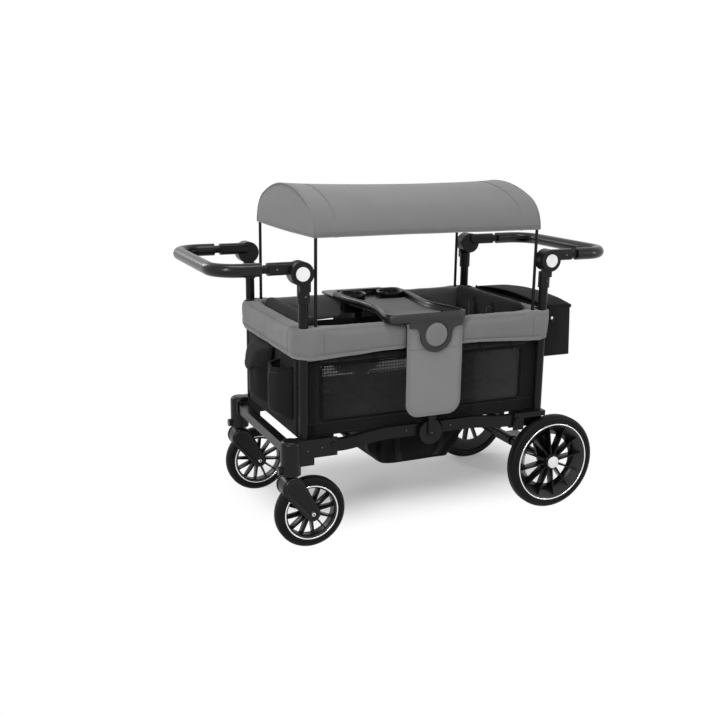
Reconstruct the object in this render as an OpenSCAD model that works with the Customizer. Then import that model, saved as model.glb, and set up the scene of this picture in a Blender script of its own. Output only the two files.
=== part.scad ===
// Two-seat stroller wagon with a folding frame, canopy and snack tray.
// +X is the rear, -Y the left side, Z is up, the floor is at z = 0, sizes in millimetres.

/* [Frame] */
// corner posts, distance from the middle along the wagon
post_x = 423; // [410:1:440]
// corner posts, distance from the middle across the wagon
post_y = 257; // [245:1:270]
// corner posts, outer diameter
post_d = 30; // [26:1:32]
// foot of the posts above the floor
post_foot_z = 350; // [344:1:358]
// rail pivots, distance from the corner posts
pivot_inset = 90; // [84:1:98]
// lower rail pivots above the floor
low_z = 328; // [322:1:332]
// lower rails, height of the section
rail_h = 38; // [34:1:40]
// lower rails, thickness of the section
rail_t = 20; // [17:1:22]
// hinge hub cover, diameter
hinge_d = 80; // [64:1:96]

/* [Rim] */
// middle of the padded rim above the floor
rim_z = 651; // [635:1:670]
// padded rim, height
rim_h = 85; // [76:1:90]
// padded rim, width
rim_w = 56; // [53:1:60]
// rounding of the padded rim
rim_round = 20; // [10:1:24]
// end of the side sleeves from the middle
rim_gap_x = 98; // [80:1:110]

/* [Wheels] */
// rear wheel, diameter
rear_d = 328; // [316:1:336]
// rear tyre, width
rear_tyre_w = 42; // [36:1:46]
// rear bright ring, diameter
rear_ring_d = 274; // [260:1:284]
// rear axle, distance behind the rear posts
axle_back = 53; // [44:1:62]
// front wheel, diameter
front_d = 228; // [218:1:234]
// front tyre, width
front_tyre_w = 40; // [34:1:44]
// front bright ring, diameter
front_ring_d = 177; // [166:1:184]
// castor swivel axis, distance ahead of the front posts
swivel_ahead = 44; // [40:1:52]
// castor trail behind the swivel axis
castor_trail = 62; // [56:1:68]
// number of spokes in a wheel
spokes = 12; // [8:1:16]

/* [Handles] */
// handle hub above the floor
hub_z = 858; // [840:1:880]
// handle hub, diameter
hub_d = 72; // [66:1:80]
// handle reach from the hub to the grip bar
reach = 250; // [225:1:280]
// grip, diameter
grip_d = 40; // [32:1:44]
// handle tube, diameter
bar_d = 25; // [20:1:26]

/* [Canopy] */
// hoop rod, diameter
hoop_d = 10; // [7:1:12]
// lower edge of the canopy above the floor
canopy_z = 961; // [940:1:990]
// rise of the canopy hoop above its lower edge
canopy_rise = 133; // [120:1:146]
// sag of the cloth between the hoops as a share of the rise
canopy_sag_share = 0.06; // [0:0.01:0.15]

/* [Tub] */
// bottom of the cloth tub above the floor
tub_z = 345; // [342:1:349]
// inside of the side walls, distance from the corner posts
wall_inset = 24; // [21:1:30]
// mesh window, distance of its end from the corner posts
window_inset = 62; // [50:1:90]
// mesh window, lower edge above the tub bottom
window_low = 47; // [36:1:64]
// mesh window, upper edge below the rim
window_gap = 38; // [24:1:56]
// seat cushion, depth
seat_depth = 250; // [220:1:280]
// seat cushion, thickness
seat_h = 42; // [34:1:52]
// seat cushion, distance of its sides from the tub walls
seat_inset = 33; // [24:1:50]
// basket, depth below the floor
basket_h = 124; // [100:1:140]
// rear bag, depth from the rim
bag_depth = 118; // [95:1:135]
// rear bag, height
bag_h = 172; // [150:1:190]

/* [Tray] */
// tray, half its width along the wagon at the left rail
tray_x = 139; // [128:1:148]
// tray, half its width along the wagon at its waist
tray_waist_x = 104; // [98:1:112]
// tray, half its width along the wagon at the cup holders
tray_far_x = 128; // [122:1:136]
// tray plate, thickness
tray_t = 7; // [5:1:10]
// raised edge of the tray above its surface
tray_lip = 18; // [10:1:24]
// cup holder, inside diameter
cup_d = 78; // [70:1:82]
// cup holder, depth
cup_depth = 46; // [36:1:60]
// release button, diameter
tray_button_d = 80; // [70:1:88]

/* [Hidden] */
$fn = 48;
fine_fn = 240;
cut = 2;
air = 0.3;
slip = 0.05;
play = 0.5;
sheet = 3;
post_r = post_d / 2;
post_wall = 1.6;
tube_r = 11;
plate_t = 8;
plate_h = 24;
plate_inset = 15.5;
pin_r = 5;
pin_head_r = 9;
pin_head_t = 3;

pivot_x = post_x - pivot_inset;
fold_angle = 67;
rail_offset = 5;
rail_y = post_y + rail_offset;
rail_in = rail_y - rail_t / 2;
rail_out = rail_y + rail_t / 2;
cheek_t = 9;
lap_r = 50;
rail_steps = 16;
front_dip = -9;
rear_dip = -3;
mid_lift = 9;
flat_share = 0.42;
ease_share = 0.85;
cross_r = 9;
cross_near_x = 110;
cross_far_x = 270;
board_t = 7;
board_gap = 4;
board_side = 4;

top_rail_h = 24;
top_rail_t = 14;
plate_y = post_y - plate_inset;
top_in = plate_y + plate_t + play * 2;
top_out = top_in + top_rail_t;
top_lap_r = 34;
cavity = 1;

rim_top = rim_z + rim_h / 2;
rim_low = rim_z - rim_h / 2;
corner_ease = 2;
rim_corner = rim_w / 2 + corner_ease;
ball_extra = 0.6;
ball_r = rim_h / 2 + ball_extra;
socket_gap = 0.8;
socket_r = ball_r + socket_gap;

disc_gap = 1;
disc_y = rail_out + disc_gap;
disc_t = 15.7;
bar_y = disc_y + disc_t + air;
flat_bar_t = 6;
flat_bar_w = 25;
flap_y = bar_y + flat_bar_t + play;
flap_t = 3.2;
flap_drop = 263;
flap_low = rim_z - flap_drop;
flap_up = 17;
flap_top = rim_z + flap_up;
flap_corner = 45;
flap_edge = 1;
skirt_gap = 0.7;
skirt_y = flap_y + flap_t + skirt_gap;
skirt_t = 7.5;
spacer_r = 26;

rear_r = rear_d / 2;
front_r = front_d / 2;
rear_axle_x = post_x + axle_back;
rear_wheel_out = 19;
rear_wheel_y = post_y + rear_wheel_out;
castor_y = rail_y;
swivel_x = post_x + swivel_ahead;
front_axle_x = -(swivel_x - castor_trail);
axle_r = 8;
bolt_r = 6;
axle_tube_r = 14;
tyre_round_share = 0.34;
rim_band = 12;
ring_band = 9;
ring_t = 3;
ring_inset = 1;
wheel_hub_r = 30;
front_hub_r = 22;
spoke_t = 7;
spoke_dish = 5;
cap_r = 21;
cap_t = 5;

fork_gap = 4;
fork_t = 8;
crown_under = 5;
crown_low = front_d - crown_under;
crown_r = 36;
crown_drop = 19;
crown_z = crown_low - crown_drop;
crown_set = 1.5;
foot_r = 24;
swivel_gap = 3;
housing_r = 31.5;
housing_low = crown_z + crown_r + swivel_gap;
housing_over = 2;
housing_top = post_foot_z + housing_over;
housing_round = 14;
stem_r = 12;
stem_cover = 22;
stem_top = housing_top - stem_cover;
bracket_h = 58;
block_low = post_foot_z - bracket_h;
step_h = 23;
step_low = block_low - step_h;
step_in = 26;
step_x = post_x - step_in;
block_l = 41;
block_end = post_x - block_l;
block_in = rail_in - play - cheek_t;
block_out = rail_out + play + cheek_t;
cheek_l = 12;
cheek_end = pivot_x - cheek_l;
flange_l = 9;
flange_in = castor_y - housing_r - flange_l;
flange_w = 40;
flange_h = 44;
crossbar_w = 30;
crossbar_h = 32;
crossbar_drop = 34;
crossbar_z = post_foot_z - crossbar_drop;
lock_r = 13;
lock_l = 22;
lock_out = 10;
lock_rise = 15;
lock_z = housing_low + lock_rise;

wall_y = post_y - wall_inset;
leg_gap = 1.5;
rear_leg_in = wall_y + sheet + leg_gap;
wheel_gap = 4.5;
rear_leg_out = rear_wheel_y - rear_tyre_w / 2 - wheel_gap;
block_gap = 4;
rear_block_x = pivot_x + rail_h / 2 + block_gap;
rear_block_back = 20;
rear_block_end = post_x + rear_block_back;
tyre_gap = 4;
rear_block_low = rear_d + tyre_gap;
rear_leg_drop = 45;
rear_leg_top = post_foot_z - rear_leg_drop;
rear_leg_r = 26;
rear_leg_back = 5;
rear_leg_x = post_x + rear_leg_back;

hub_back = 10;
hub_x = post_x + hub_back;
hub_r = hub_d / 2;
hub_gap = 1.5;
hub_low = hub_z - hub_r - hub_gap;
hub_split = post_y + rail_offset;
hub_cover_t = 18;
hub_out = hub_split + hub_cover_t;
hub_inset = 21;
hub_in = post_y - hub_inset;
sleeve_t = 4;
sleeve_r = post_r + sleeve_t;
sleeve_l = 52;
sleeve_low = hub_low - sleeve_l;
neck_w = 34;
neck_t = 14;
spindle_r = 8;
button_r = 21;
button_t = 9.5;
button_proud = 4;
button_room = 10;
arm_lift = 14;
arm_h = 37;
arm_inset = 27;
arm_in = post_y - arm_inset;
arm_w = hub_split - air - arm_in;
arm_y = arm_in + arm_w / 2;
arm_end = 97;
arm_bore = 42;
arm_round = 12;
bar_r = bar_d / 2;
bar_wall = 2;
bar_start = 44;
bar_corner = 78;
grip_r = grip_d / 2;
grip_start = 118;

hoop_gap = 2.5;
hoop_x = pivot_x + socket_r + hoop_d / 2 + hoop_gap;
hoop_foot_drop = 23;
hoop_foot = rim_z - hoop_foot_drop;
arch_a = post_y;
arch_t = 25;
splice = air;
arch_q = (canopy_rise - arch_a + splice * (cos(arch_t) - sin(arch_t))) / (1 - cos(arch_t) - sin(arch_t));
arch_side = arch_a - arch_q * sin(arch_t) - splice * cos(arch_t);
arch_r = arch_q + arch_side;
roof_gap = hoop_d / 2 + air;
roof_t = 2.4;
roof_over = 2;
roof_x = hoop_x + hoop_d / 2 + roof_over;
roof_nx = 10;
roof_side_n = 10;
roof_crown_n = 18;
end_panel_t = 2;

end_wall_x = post_x + post_r;
wall_drop = 1;
wall_top = rim_low - wall_drop;
window_x = post_x - window_inset;
window_z = tub_z + window_low;
window_top = rim_low - window_gap;
net_cols = 12;
net_rows = 5;
net_bar = 4;
shelf_gap = 27;
shelf_x = pivot_x + shelf_gap;
pocket_out = 58;
pocket_rise = 53;
pocket_low = tub_z + pocket_rise;
pocket_gap = 41;
pocket_top = wall_top - pocket_gap;
pocket_w = 118;
pocket_y = 150;
pocket_far_y = -40;
pocket_far_w = 150;
back_t = 46;
back_lift = 80;
back_low = tub_z + back_lift;
back_up = 61;
back_top = rim_z + back_up;
seat_w = 2 * (wall_y - seat_inset);
back_extra = 10;
back_w = seat_w + back_extra;
back_x = post_x - rim_w / 2 - back_t / 2;
cushion_n = 36;
cushion_m = 10;
cushion_side_share = 0.3;
cushion_top_share = 0.55;
plan_share = 0.45;

basket_x = 178;
basket_foot_x = 130;
basket_y = 212;
basket_top = tub_z - 2 * cross_r - 2 * air;
bag_low = rim_top - bag_h;
bag_y = 222;
bag_x = post_x + rim_w / 2 + air;
bag_slope = 8;
lid_rise = 18;

tray_gap = 1.2;
tray_low = rim_top + tray_gap;
tray_z = tray_low + tray_t;
tray_end_y = skirt_y + skirt_t;
tray_shift = -27;
tray_bend_y = 110;
tray_flare_y = 300;
tray_flat_y = 195;
tray_lip_y = 182;
tray_edge = 7;
tray_steps = 24;
tray_corner = 26;
mat_corner = 18;
corner_n = 8;
ring_out = 56;
skirt_x = 92;
skirt_ease_share = 0.67;
mat_inset = 28;
mat_t = 2;
mat_end_y = 60;
cup_y = 124;
cup_x = 71.5;
cup_wall = 3;
cup_rise = 14;
tray_button_t = 9;
tray_button_proud = 5;

pedal_y = 48;
pedal_r = 19;
pedal_l = 78;
pedal_t = 8;

module sides() {
  children();
  mirror([0, 1, 0]) children();
}

module to_right() {
  mirror([0, 1, 0]) children();
}

module to_front() {
  mirror([1, 0, 0]) children();
}

module grow_y(from_y, t) {
  translate([0, from_y + t, 0]) rotate([90, 0, 0]) linear_extrude(t) children();
}

module grow_x(from_x, t) {
  translate([from_x, 0, 0]) rotate([90, 0, 90]) linear_extrude(t) children();
}

module rod_y(x, z, r, y_from, y_to) {
  translate([x, y_to, z]) rotate([90, 0, 0]) cylinder(r = r, h = y_to - y_from);
}

module round_rect(w, h, r) {
  square([w - 2 * r, h], center = true);
  square([w, h - 2 * r], center = true);
  for (i = [-1, 1], j = [-1, 1]) translate([i * (w / 2 - r), j * (h / 2 - r)]) circle(r);
}

module box(x, y, z) {
  translate([x[0], y[0], z[0]]) cube([x[1] - x[0], y[1] - y[0], z[1] - z[0]]);
}

// a round-ended arm from p to q, with straight sides that touch both ends
module link(p, q, rp, rq) {
  d = (q - p) / norm(q - p);
  lean = (rp - rq) / norm(q - p);
  n = [-d[1], d[0]] * sqrt(1 - lean * lean);
  left = d * lean + n;
  right = d * lean - n;
  translate(p) circle(rp);
  translate(q) circle(rq);
  polygon([p + left * rp, q + left * rq, q + right * rq, p + right * rp]);
}

module rim_section() {
  round_rect(rim_w, rim_h, rim_round);
}

// corner frame at one end: two posts, the tube inside the rim and a pivot plate on each side
module end_frame() {
  difference() {
    union() {
      sides() translate([post_x, post_y, post_foot_z]) cylinder(r = post_r, h = hub_low - post_foot_z);
      rod_y(post_x, rim_z, tube_r, -post_y, post_y);
      sides() grow_y(plate_y, plate_t) {
        translate([pivot_x, rim_z]) circle(plate_h / 2);
        translate([pivot_x, rim_z - plate_h / 2]) square([post_x - pivot_x, plate_h]);
      }
    }
    sides() translate([post_x, post_y, post_foot_z - cut])
      cylinder(r = post_r - post_wall, h = hub_low - post_foot_z + 2 * cut);
    rod_y(post_x, rim_z, tube_r - post_wall, -post_y, post_y);
    sides() rod_y(pivot_x, rim_z, pin_r + slip, plate_y - cut, plate_y + plate_t + cut);
  }
}

// hinge pins of one end: upper pins in the plates, lower pins in the brackets
module end_pins() {
  sides() {
    rod_y(pivot_x, rim_z, pin_r, plate_y - air, top_out + pin_head_t);
    rod_y(pivot_x, rim_z, pin_head_r, plate_y - air - pin_head_t, plate_y - air);
  }
  sides() {
    rod_y(pivot_x, low_z, pin_r, block_in, block_out + air);
    rod_y(pivot_x, low_z, pin_head_r, block_out + air, block_out + air + pin_head_t);
  }
}

// padded rim round one end, hollow for the frame, with round sockets for the side sleeves
module end_pad() {
  difference() {
    union() {
      translate([post_x, 0, rim_z]) grow_y(-(post_y - rim_corner), 2 * (post_y - rim_corner)) rim_section();
      sides() translate([post_x - rim_corner, post_y - rim_corner, rim_z])
        rotate_extrude(angle = 90) translate([rim_corner, 0]) rim_section();
      sides() translate([pivot_x, post_y, rim_z]) grow_x(0, post_x - rim_corner - pivot_x) rim_section();
    }
    sides() rod_y(pivot_x, rim_z, socket_r, post_y - rim_w, post_y + rim_w);
    sides() translate([pivot_x, 0, rim_z]) rotate([0, fold_angle, 0])
      box([-post_x, play], [post_y - rim_w, post_y + rim_w], [-socket_r, socket_r + play]);
    sides() translate([post_x, post_y, rim_low - cut]) cylinder(r = post_r + air, h = rim_h + 2 * cut);
    rod_y(post_x, rim_z, tube_r + air, -post_y, post_y);
    sides() translate([hoop_x, post_y, hoop_foot - air]) cylinder(r = hoop_d / 2 + air, h = rim_h);
    sides() box([pivot_x, post_x], [plate_y - play, plate_y + plate_t + play],
      [rim_z - plate_h / 2 - play, rim_z + plate_h / 2 + play]);
  }
}

// padded sleeves on the side rails of one half, with round ends about the pivot
module side_pads() {
  sides() difference() {
    intersection() {
      translate([rim_gap_x, post_y, rim_z]) grow_x(0, pivot_x + ball_r - rim_gap_x) rim_section();
      union() {
        box([rim_gap_x - cut, pivot_x], [post_y - rim_w, post_y + rim_w], [rim_low - cut, rim_z + rim_h]);
        rod_y(pivot_x, rim_z, ball_r, post_y - rim_w, post_y + rim_w);
      }
    }
    box([rim_gap_x - cut, pivot_x], [top_in - cavity, top_out + cavity],
      [rim_z - top_rail_h / 2 - cavity, rim_z + top_rail_h / 2 + cavity]);
    rod_y(pivot_x, rim_z, top_rail_h / 2 + cavity, top_in - cavity, top_out + pin_head_t + cavity);
    rod_y(pivot_x, rim_z, socket_r + cavity, plate_y - cavity, plate_y + plate_t + play);
    rod_y(pivot_x, rim_z, pin_head_r + cavity, plate_y - air - pin_head_t - cavity, top_in);
  }
}

// top rail of one half inside the sleeves, with the lap of the centre hinge
module side_rails(outer_half) {
  lap = outer_half ? [top_in - cut, (top_in + top_out) / 2 + air] : [(top_in + top_out) / 2 - air, top_out + cut];
  sides() difference() {
    grow_y(top_in, top_rail_t) {
      translate([0, rim_z]) circle(top_rail_h / 2);
      translate([pivot_x, rim_z]) circle(top_rail_h / 2);
      translate([0, rim_z - top_rail_h / 2]) square([pivot_x, top_rail_h]);
    }
    rod_y(0, rim_z, top_lap_r, lap[0], lap[1]);
    rod_y(0, rim_z, pin_r + slip, top_in - cut, top_out + cut);
    rod_y(pivot_x, rim_z, pin_r + slip, top_in - cut, top_out + cut);
  }
}

function smooth(t) = t <= 0 ? 0 : t >= 1 ? 1 : t * t * (3 - 2 * t);
function rail_lift(u, dip) = mid_lift + (dip - mid_lift) * smooth((u - flat_share) / (1 - flat_share) / ease_share);
function rail_line(dip, side) = [for (i = [0 : rail_steps])
  [pivot_x * i / rail_steps, low_z + rail_lift(i / rail_steps, dip) + side * rail_h / 2]];
function turned(list) = [for (i = [len(list) - 1 : -1 : 0]) list[i]];

// lower rails of one half with their cross tubes and the floor board
module floor_frame(dip, outer_half) {
  lap = outer_half ? [rail_in - cut, rail_y + air] : [rail_y - air, rail_out + cut];
  difference() {
    union() {
      sides() grow_y(rail_in, rail_t) {
        polygon(concat(rail_line(dip, 1), turned(rail_line(dip, -1))));
        translate([0, low_z]) circle(rail_h / 2);
        translate([pivot_x, low_z]) circle(rail_h / 2);
      }
      for (x = [cross_near_x, cross_far_x]) rod_y(x, tub_z - cross_r - air, cross_r, -rail_y, rail_y);
    }
    sides() rod_y(0, low_z, lap_r, lap[0], lap[1]);
    sides() rod_y(0, low_z, pin_r + slip, rail_in - cut, rail_out + cut);
    sides() rod_y(pivot_x, low_z, pin_r + slip, rail_in - cut, rail_out + cut);
  }
  box([board_gap / 2, pivot_x - board_gap], [-(wall_y - board_side), wall_y - board_side], [tub_z, tub_z + board_t]);
}

// tub side walls of one half, with a coarse net for the mesh window
module side_walls() {
  win_w = window_x - 3 * board_gap;
  win_h = window_top - window_z;
  hole_w = (win_w - (net_cols - 1) * net_bar) / net_cols;
  hole_h = (win_h - (net_rows - 1) * net_bar) / net_rows;
  sides() grow_y(wall_y, sheet) difference() {
    translate([board_gap / 2, tub_z]) square([end_wall_x - sheet - air - board_gap / 2, wall_top - tub_z]);
    for (i = [0 : net_cols - 1], j = [0 : net_rows - 1])
      translate([3 * board_gap + i * (hole_w + net_bar), window_z + j * (hole_h + net_bar)]) square([hole_w, hole_h]);
  }
}

module end_wall() {
  box([end_wall_x - sheet, end_wall_x], [-wall_y, wall_y], [tub_z, wall_top]);
  box([shelf_x, end_wall_x], [-wall_y, wall_y], [tub_z, tub_z + sheet]);
}

// one bulging pocket on the outside of the front wall, open at the top
module pocket(y, w, low, top, t) {
  r = (w * w / 4 + pocket_out * pocket_out) / (2 * pocket_out);
  c = end_wall_x + air + pocket_out - r;
  difference() {
    intersection() {
      translate([c, y, low]) cylinder(r = r, h = top - low);
      box([end_wall_x + air, end_wall_x + 2 * pocket_out], [y - w, y + w], [low, top]);
    }
    intersection() {
      translate([c, y, low + t]) cylinder(r = r - t, h = top - low);
      box([end_wall_x + air + t, end_wall_x + 2 * pocket_out], [y - w, y + w], [low, top + cut]);
    }
  }
}

function pad_power(v, p) = v < 0 ? -pow(-v, p) : pow(v, p);
function pad_ring(l, w, h, a) = [for (i = [0 : cushion_n - 1]) let (u = 360 * i / cushion_n)
  [l / 2 * pad_power(cos(u), plan_share) * pow(cos(a), cushion_side_share),
   w / 2 * pad_power(sin(u), plan_share) * pow(cos(a), cushion_side_share),
   h / 2 * pad_power(sin(a), cushion_top_share)]];

// crowned cushion with drawn-in sides, centred
module cushion(l, w, h) {
  rings = [for (j = [1 : cushion_m - 1]) pad_ring(l, w, h, -90 + 180 * j / cushion_m)];
  pts = concat([[0, 0, -h / 2]], [for (r = rings, p = r) p], [[0, 0, h / 2]]);
  n = cushion_n;
  last = len(pts) - 1;
  polyhedron(pts, concat(
    [for (i = [0 : n - 1]) [0, 1 + i, 1 + (i + 1) % n]],
    [for (j = [0 : cushion_m - 3], i = [0 : n - 1]) let (a = 1 + j * n, k = (i + 1) % n) [a + i, a + n + i, a + k]],
    [for (j = [0 : cushion_m - 3], i = [0 : n - 1]) let (a = 1 + j * n, k = (i + 1) % n) [a + k, a + n + i, a + n + k]],
    [for (i = [0 : n - 1]) [last, last - n + (i + 1) % n, last - n + i]]));
}

// seat cushion and backrest at one end
module seat() {
  translate([back_x + back_t / 2 - seat_depth / 2, 0, tub_z + board_t + air + seat_h / 2])
    cushion(seat_depth, seat_w, seat_h);
  translate([back_x, 0, (back_low + back_top) / 2]) rotate([0, 90, 0]) cushion(back_top - back_low, back_w, back_t);
}

module basket() {
  low = basket_top - basket_h;
  difference() {
    grow_y(-basket_y, 2 * basket_y)
      polygon([[-basket_x, basket_top], [-basket_foot_x, low], [basket_foot_x, low], [basket_x, basket_top]]);
    grow_y(-basket_y + sheet, 2 * (basket_y - sheet)) polygon([
      [-basket_x + sheet, basket_top + cut], [-basket_foot_x + sheet, low + sheet],
      [basket_foot_x - sheet, low + sheet], [basket_x - sheet, basket_top + cut]]);
  }
}

module rear_bag() {
  top = bag_low + bag_h;
  r = (bag_y * bag_y + lid_rise * lid_rise) / (2 * lid_rise);
  difference() {
    grow_y(-bag_y, 2 * bag_y) polygon([[bag_x, bag_low], [bag_x + bag_depth, bag_low],
      [bag_x + bag_depth - bag_slope, top], [bag_x, top]]);
    grow_y(-bag_y + sheet, 2 * (bag_y - sheet)) polygon([[bag_x + sheet, bag_low + sheet],
      [bag_x + bag_depth - sheet, bag_low + sheet], [bag_x + bag_depth - bag_slope - sheet, top + cut],
      [bag_x + sheet, top + cut]]);
  }
  grow_x(bag_x, bag_depth) translate([0, top + air]) difference() {
    intersection() {
      translate([0, lid_rise - r]) circle(r + sheet, $fn = fine_fn);
      translate([-bag_y, 0]) square([2 * bag_y, 2 * lid_rise]);
    }
    translate([0, lid_rise - r]) circle(r, $fn = fine_fn);
  }
}

// wheel parts stand on the local z axis, outside face up
module tyre(r, ring_r, w) {
  rotate_extrude() translate([(r + ring_r) / 2, 0]) round_rect(r - ring_r, w, tyre_round_share * min(w, r - ring_r));
}

module wheel(ring_r, w, nave_r, bore) {
  difference() {
    union() {
      cylinder(r = nave_r, h = w, center = true);
      for (i = [0 : spokes - 1]) rotate([0, 0, 360 * i / spokes])
        translate([nave_r / 2, -spoke_t / 2, -w / 2 + spoke_dish])
        cube([ring_r - rim_band / 2 - nave_r / 2, spoke_t, w - 2 * spoke_dish]);
      rotate_extrude() translate([ring_r - rim_band, -w / 2 + ring_inset])
        square([rim_band - slip, w - 2 * ring_inset - ring_t]);
    }
    cylinder(r = bore + slip, h = w + 2 * cut, center = true);
  }
  rotate_extrude() translate([ring_r - ring_band, w / 2 - ring_inset - ring_t + slip]) square([ring_band - slip, ring_t]);
}

module rear_wheel() {
  wheel(rear_ring_d / 2, rear_tyre_w, wheel_hub_r, axle_r);
  translate([0, 0, rear_tyre_w / 2 + slip]) cylinder(r = cap_r, h = cap_t);
}

module at_rear() {
  translate([rear_axle_x, -rear_wheel_y, rear_r]) rotate([90, 0, 0]) children();
}

module at_castor() {
  translate([front_axle_x, -castor_y, front_r]) rotate([90, 0, 0]) children();
}

// left castor fork with a crown that follows the tyre, and its axle bolt
module fork() {
  leg = front_tyre_w / 2 + fork_gap;
  mirror([0, 1, 0]) difference() {
    union() {
      for (y = [castor_y + leg, castor_y - leg - fork_t]) grow_y(y, fork_t)
        link([-swivel_x, crown_z], [front_axle_x, front_r], crown_r, foot_r);
      grow_y(castor_y - leg - fork_t / 2, 2 * leg + fork_t) difference() {
        translate([-swivel_x, crown_z]) circle(crown_r - crown_set);
        translate([front_axle_x, front_r]) circle(front_r + fork_gap);
      }
      translate([-swivel_x, castor_y, crown_low]) cylinder(r = stem_r, h = stem_top - crown_low);
    }
    rod_y(front_axle_x, front_r, bolt_r + slip, castor_y - 2 * front_tyre_w, castor_y + 2 * front_tyre_w);
  }
  mirror([0, 1, 0]) {
    rod_y(front_axle_x, front_r, bolt_r, castor_y - leg - fork_t - air, castor_y + leg + fork_t + air);
    for (y = [castor_y + leg + fork_t + air, castor_y - leg - fork_t - air - pin_head_t])
      rod_y(front_axle_x, front_r, pin_head_r, y, y + pin_head_t);
  }
}

// castor housings with the post foot and the rail bracket
module castor_housings() {
  sides() difference() {
    union() {
      translate([-swivel_x, castor_y, housing_low]) rotate_extrude() {
        square([housing_r, housing_top - housing_low - housing_round]);
        square([housing_r - housing_round, housing_top - housing_low]);
        translate([housing_r - housing_round, housing_top - housing_low - housing_round]) circle(housing_round);
      }
      box([-swivel_x + stem_r + cut, -block_end], [block_in, block_out], [block_low, post_foot_z]);
      box([-swivel_x + stem_r + cut, -step_x], [block_in, block_out], [step_low, block_low + cut]);
      box([-swivel_x - flange_w / 2, -swivel_x + flange_w / 2], [flange_in, castor_y - stem_r - cut],
        [crossbar_z - flange_h / 2, crossbar_z + flange_h / 2]);
      cheeks(-1);
    }
    translate([-swivel_x, castor_y, housing_low - cut]) cylinder(r = stem_r + slip, h = stem_top + 2 * cut - housing_low);
    rod_y(-pivot_x, low_z, pin_r + slip, block_in - cut, block_out + cut);
    translate([-swivel_x - housing_r - lock_out, castor_y, lock_z]) rotate([0, 90, 0])
      cylinder(r = lock_r + slip, h = lock_l + lock_out / 2);
  }
}

// the two plates that hold the end of a lower rail
module cheeks(s) {
  span = s > 0 ? [cheek_end, rear_block_x + cut] : [-block_end - cut, -cheek_end];
  for (y = [[rail_out + play, block_out], [block_in, rail_in - play]])
    box(span, y, [block_low, post_foot_z]);
}

module lock(s) {
  translate([-swivel_x - housing_r - lock_out, s * castor_y, lock_z]) rotate([0, 90, 0]) cylinder(r = lock_r, h = lock_l);
}

module rear_brackets() {
  difference() {
    union() {
      sides() {
        cheeks(1);
        box([rear_block_x, rear_block_end], [rear_leg_in, block_out], [rear_block_low, post_foot_z]);
        grow_y(rear_leg_in, rear_leg_out - rear_leg_in) {
          link([rear_leg_x, rear_leg_top], [rear_axle_x, rear_r], rear_leg_r, rear_leg_r);
          translate([rear_block_x, block_low]) square([rear_block_end - rear_block_x, post_foot_z - block_low]);
        }
      }
      rod_y(rear_axle_x, rear_r, axle_tube_r, -rear_leg_in - cut, rear_leg_in + cut);
    }
    rod_y(rear_axle_x, rear_r, axle_r + slip, -rear_wheel_y, rear_wheel_y);
    sides() rod_y(pivot_x, low_z, pin_r + slip, block_in - cut, block_out + cut);
  }
}

module hub_bases() {
  sides() difference() {
    union() {
      translate([post_x, post_y, sleeve_low]) cylinder(r = sleeve_r, h = hub_low - sleeve_low);
      box([post_x - neck_w / 2, post_x + neck_w / 2], [hub_split, hub_split + neck_t], [hub_low - neck_w / 2, hub_z]);
      rod_y(hub_x, hub_z, hub_r, hub_split, hub_out);
      rod_y(hub_x, hub_z, spindle_r, hub_in, hub_split + cut);
    }
    translate([post_x, post_y, sleeve_low - cut]) cylinder(r = post_r + slip, h = hub_low - sleeve_low + cut + slip);
    rod_y(hub_x, hub_z, button_r + slip, hub_out - button_room, hub_out + cut);
  }
}

module hub_button(s) {
  mirror([0, s > 0 ? 0 : 1, 0])
    rod_y(hub_x, hub_z, button_r, hub_out + button_proud - button_t, hub_out + button_proud);
}

module handle_arms() {
  sides() difference() {
    union() {
      rod_y(hub_x, hub_z, hub_r, hub_in, hub_split - air);
      translate([hub_x, arm_y, hub_z + arm_lift]) grow_x(0, arm_end) round_rect(arm_w, arm_h, arm_round);
    }
    rod_y(hub_x, hub_z, spindle_r + slip, arm_in - cut, hub_split + cut);
    translate([hub_x + arm_bore, arm_y, hub_z + arm_lift]) rotate([0, 90, 0]) cylinder(r = bar_r + slip, h = arm_end);
  }
}

module handle_path(r, from_x) {
  z = hub_z + arm_lift;
  sides() translate([hub_x + from_x, arm_y, z]) rotate([0, 90, 0]) cylinder(r = r, h = reach - bar_corner - from_x);
  sides() translate([hub_x + reach - bar_corner, arm_y - bar_corner, z])
    rotate_extrude(angle = 90) translate([bar_corner, 0]) circle(r);
  rod_y(hub_x + reach, z, r, -(arm_y - bar_corner), arm_y - bar_corner);
}

module handle_bar() {
  difference() {
    handle_path(bar_r, bar_start);
    handle_path(bar_r - bar_wall, bar_start - cut);
  }
}

module handle_grip() {
  difference() {
    handle_path(grip_r, grip_start);
    handle_path(bar_r + slip, grip_start - cut);
  }
}

module arc(r, c, from_a, to_a, rod) {
  translate([c[0], c[1], 0]) rotate([0, 0, from_a]) rotate_extrude(angle = to_a - from_a) translate([r, 0]) circle(rod);
}

// canopy hoop: two bent legs and a crown bow that butts between them
module hoop() {
  r = hoop_d / 2;
  sides() {
    translate([hoop_x, post_y, hoop_foot]) cylinder(r = r, h = canopy_z - hoop_foot);
    translate([hoop_x, 0, 0]) rotate([90, 0, 90]) arc(arch_side, [arch_a - arch_side, canopy_z], 0, 90 - arch_t, r);
  }
  translate([hoop_x, 0, 0]) rotate([90, 0, 90])
    arc(arch_r, [0, canopy_z + canopy_rise - arch_r], 90 - arch_t, 90 + arch_t, r);
}

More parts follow.
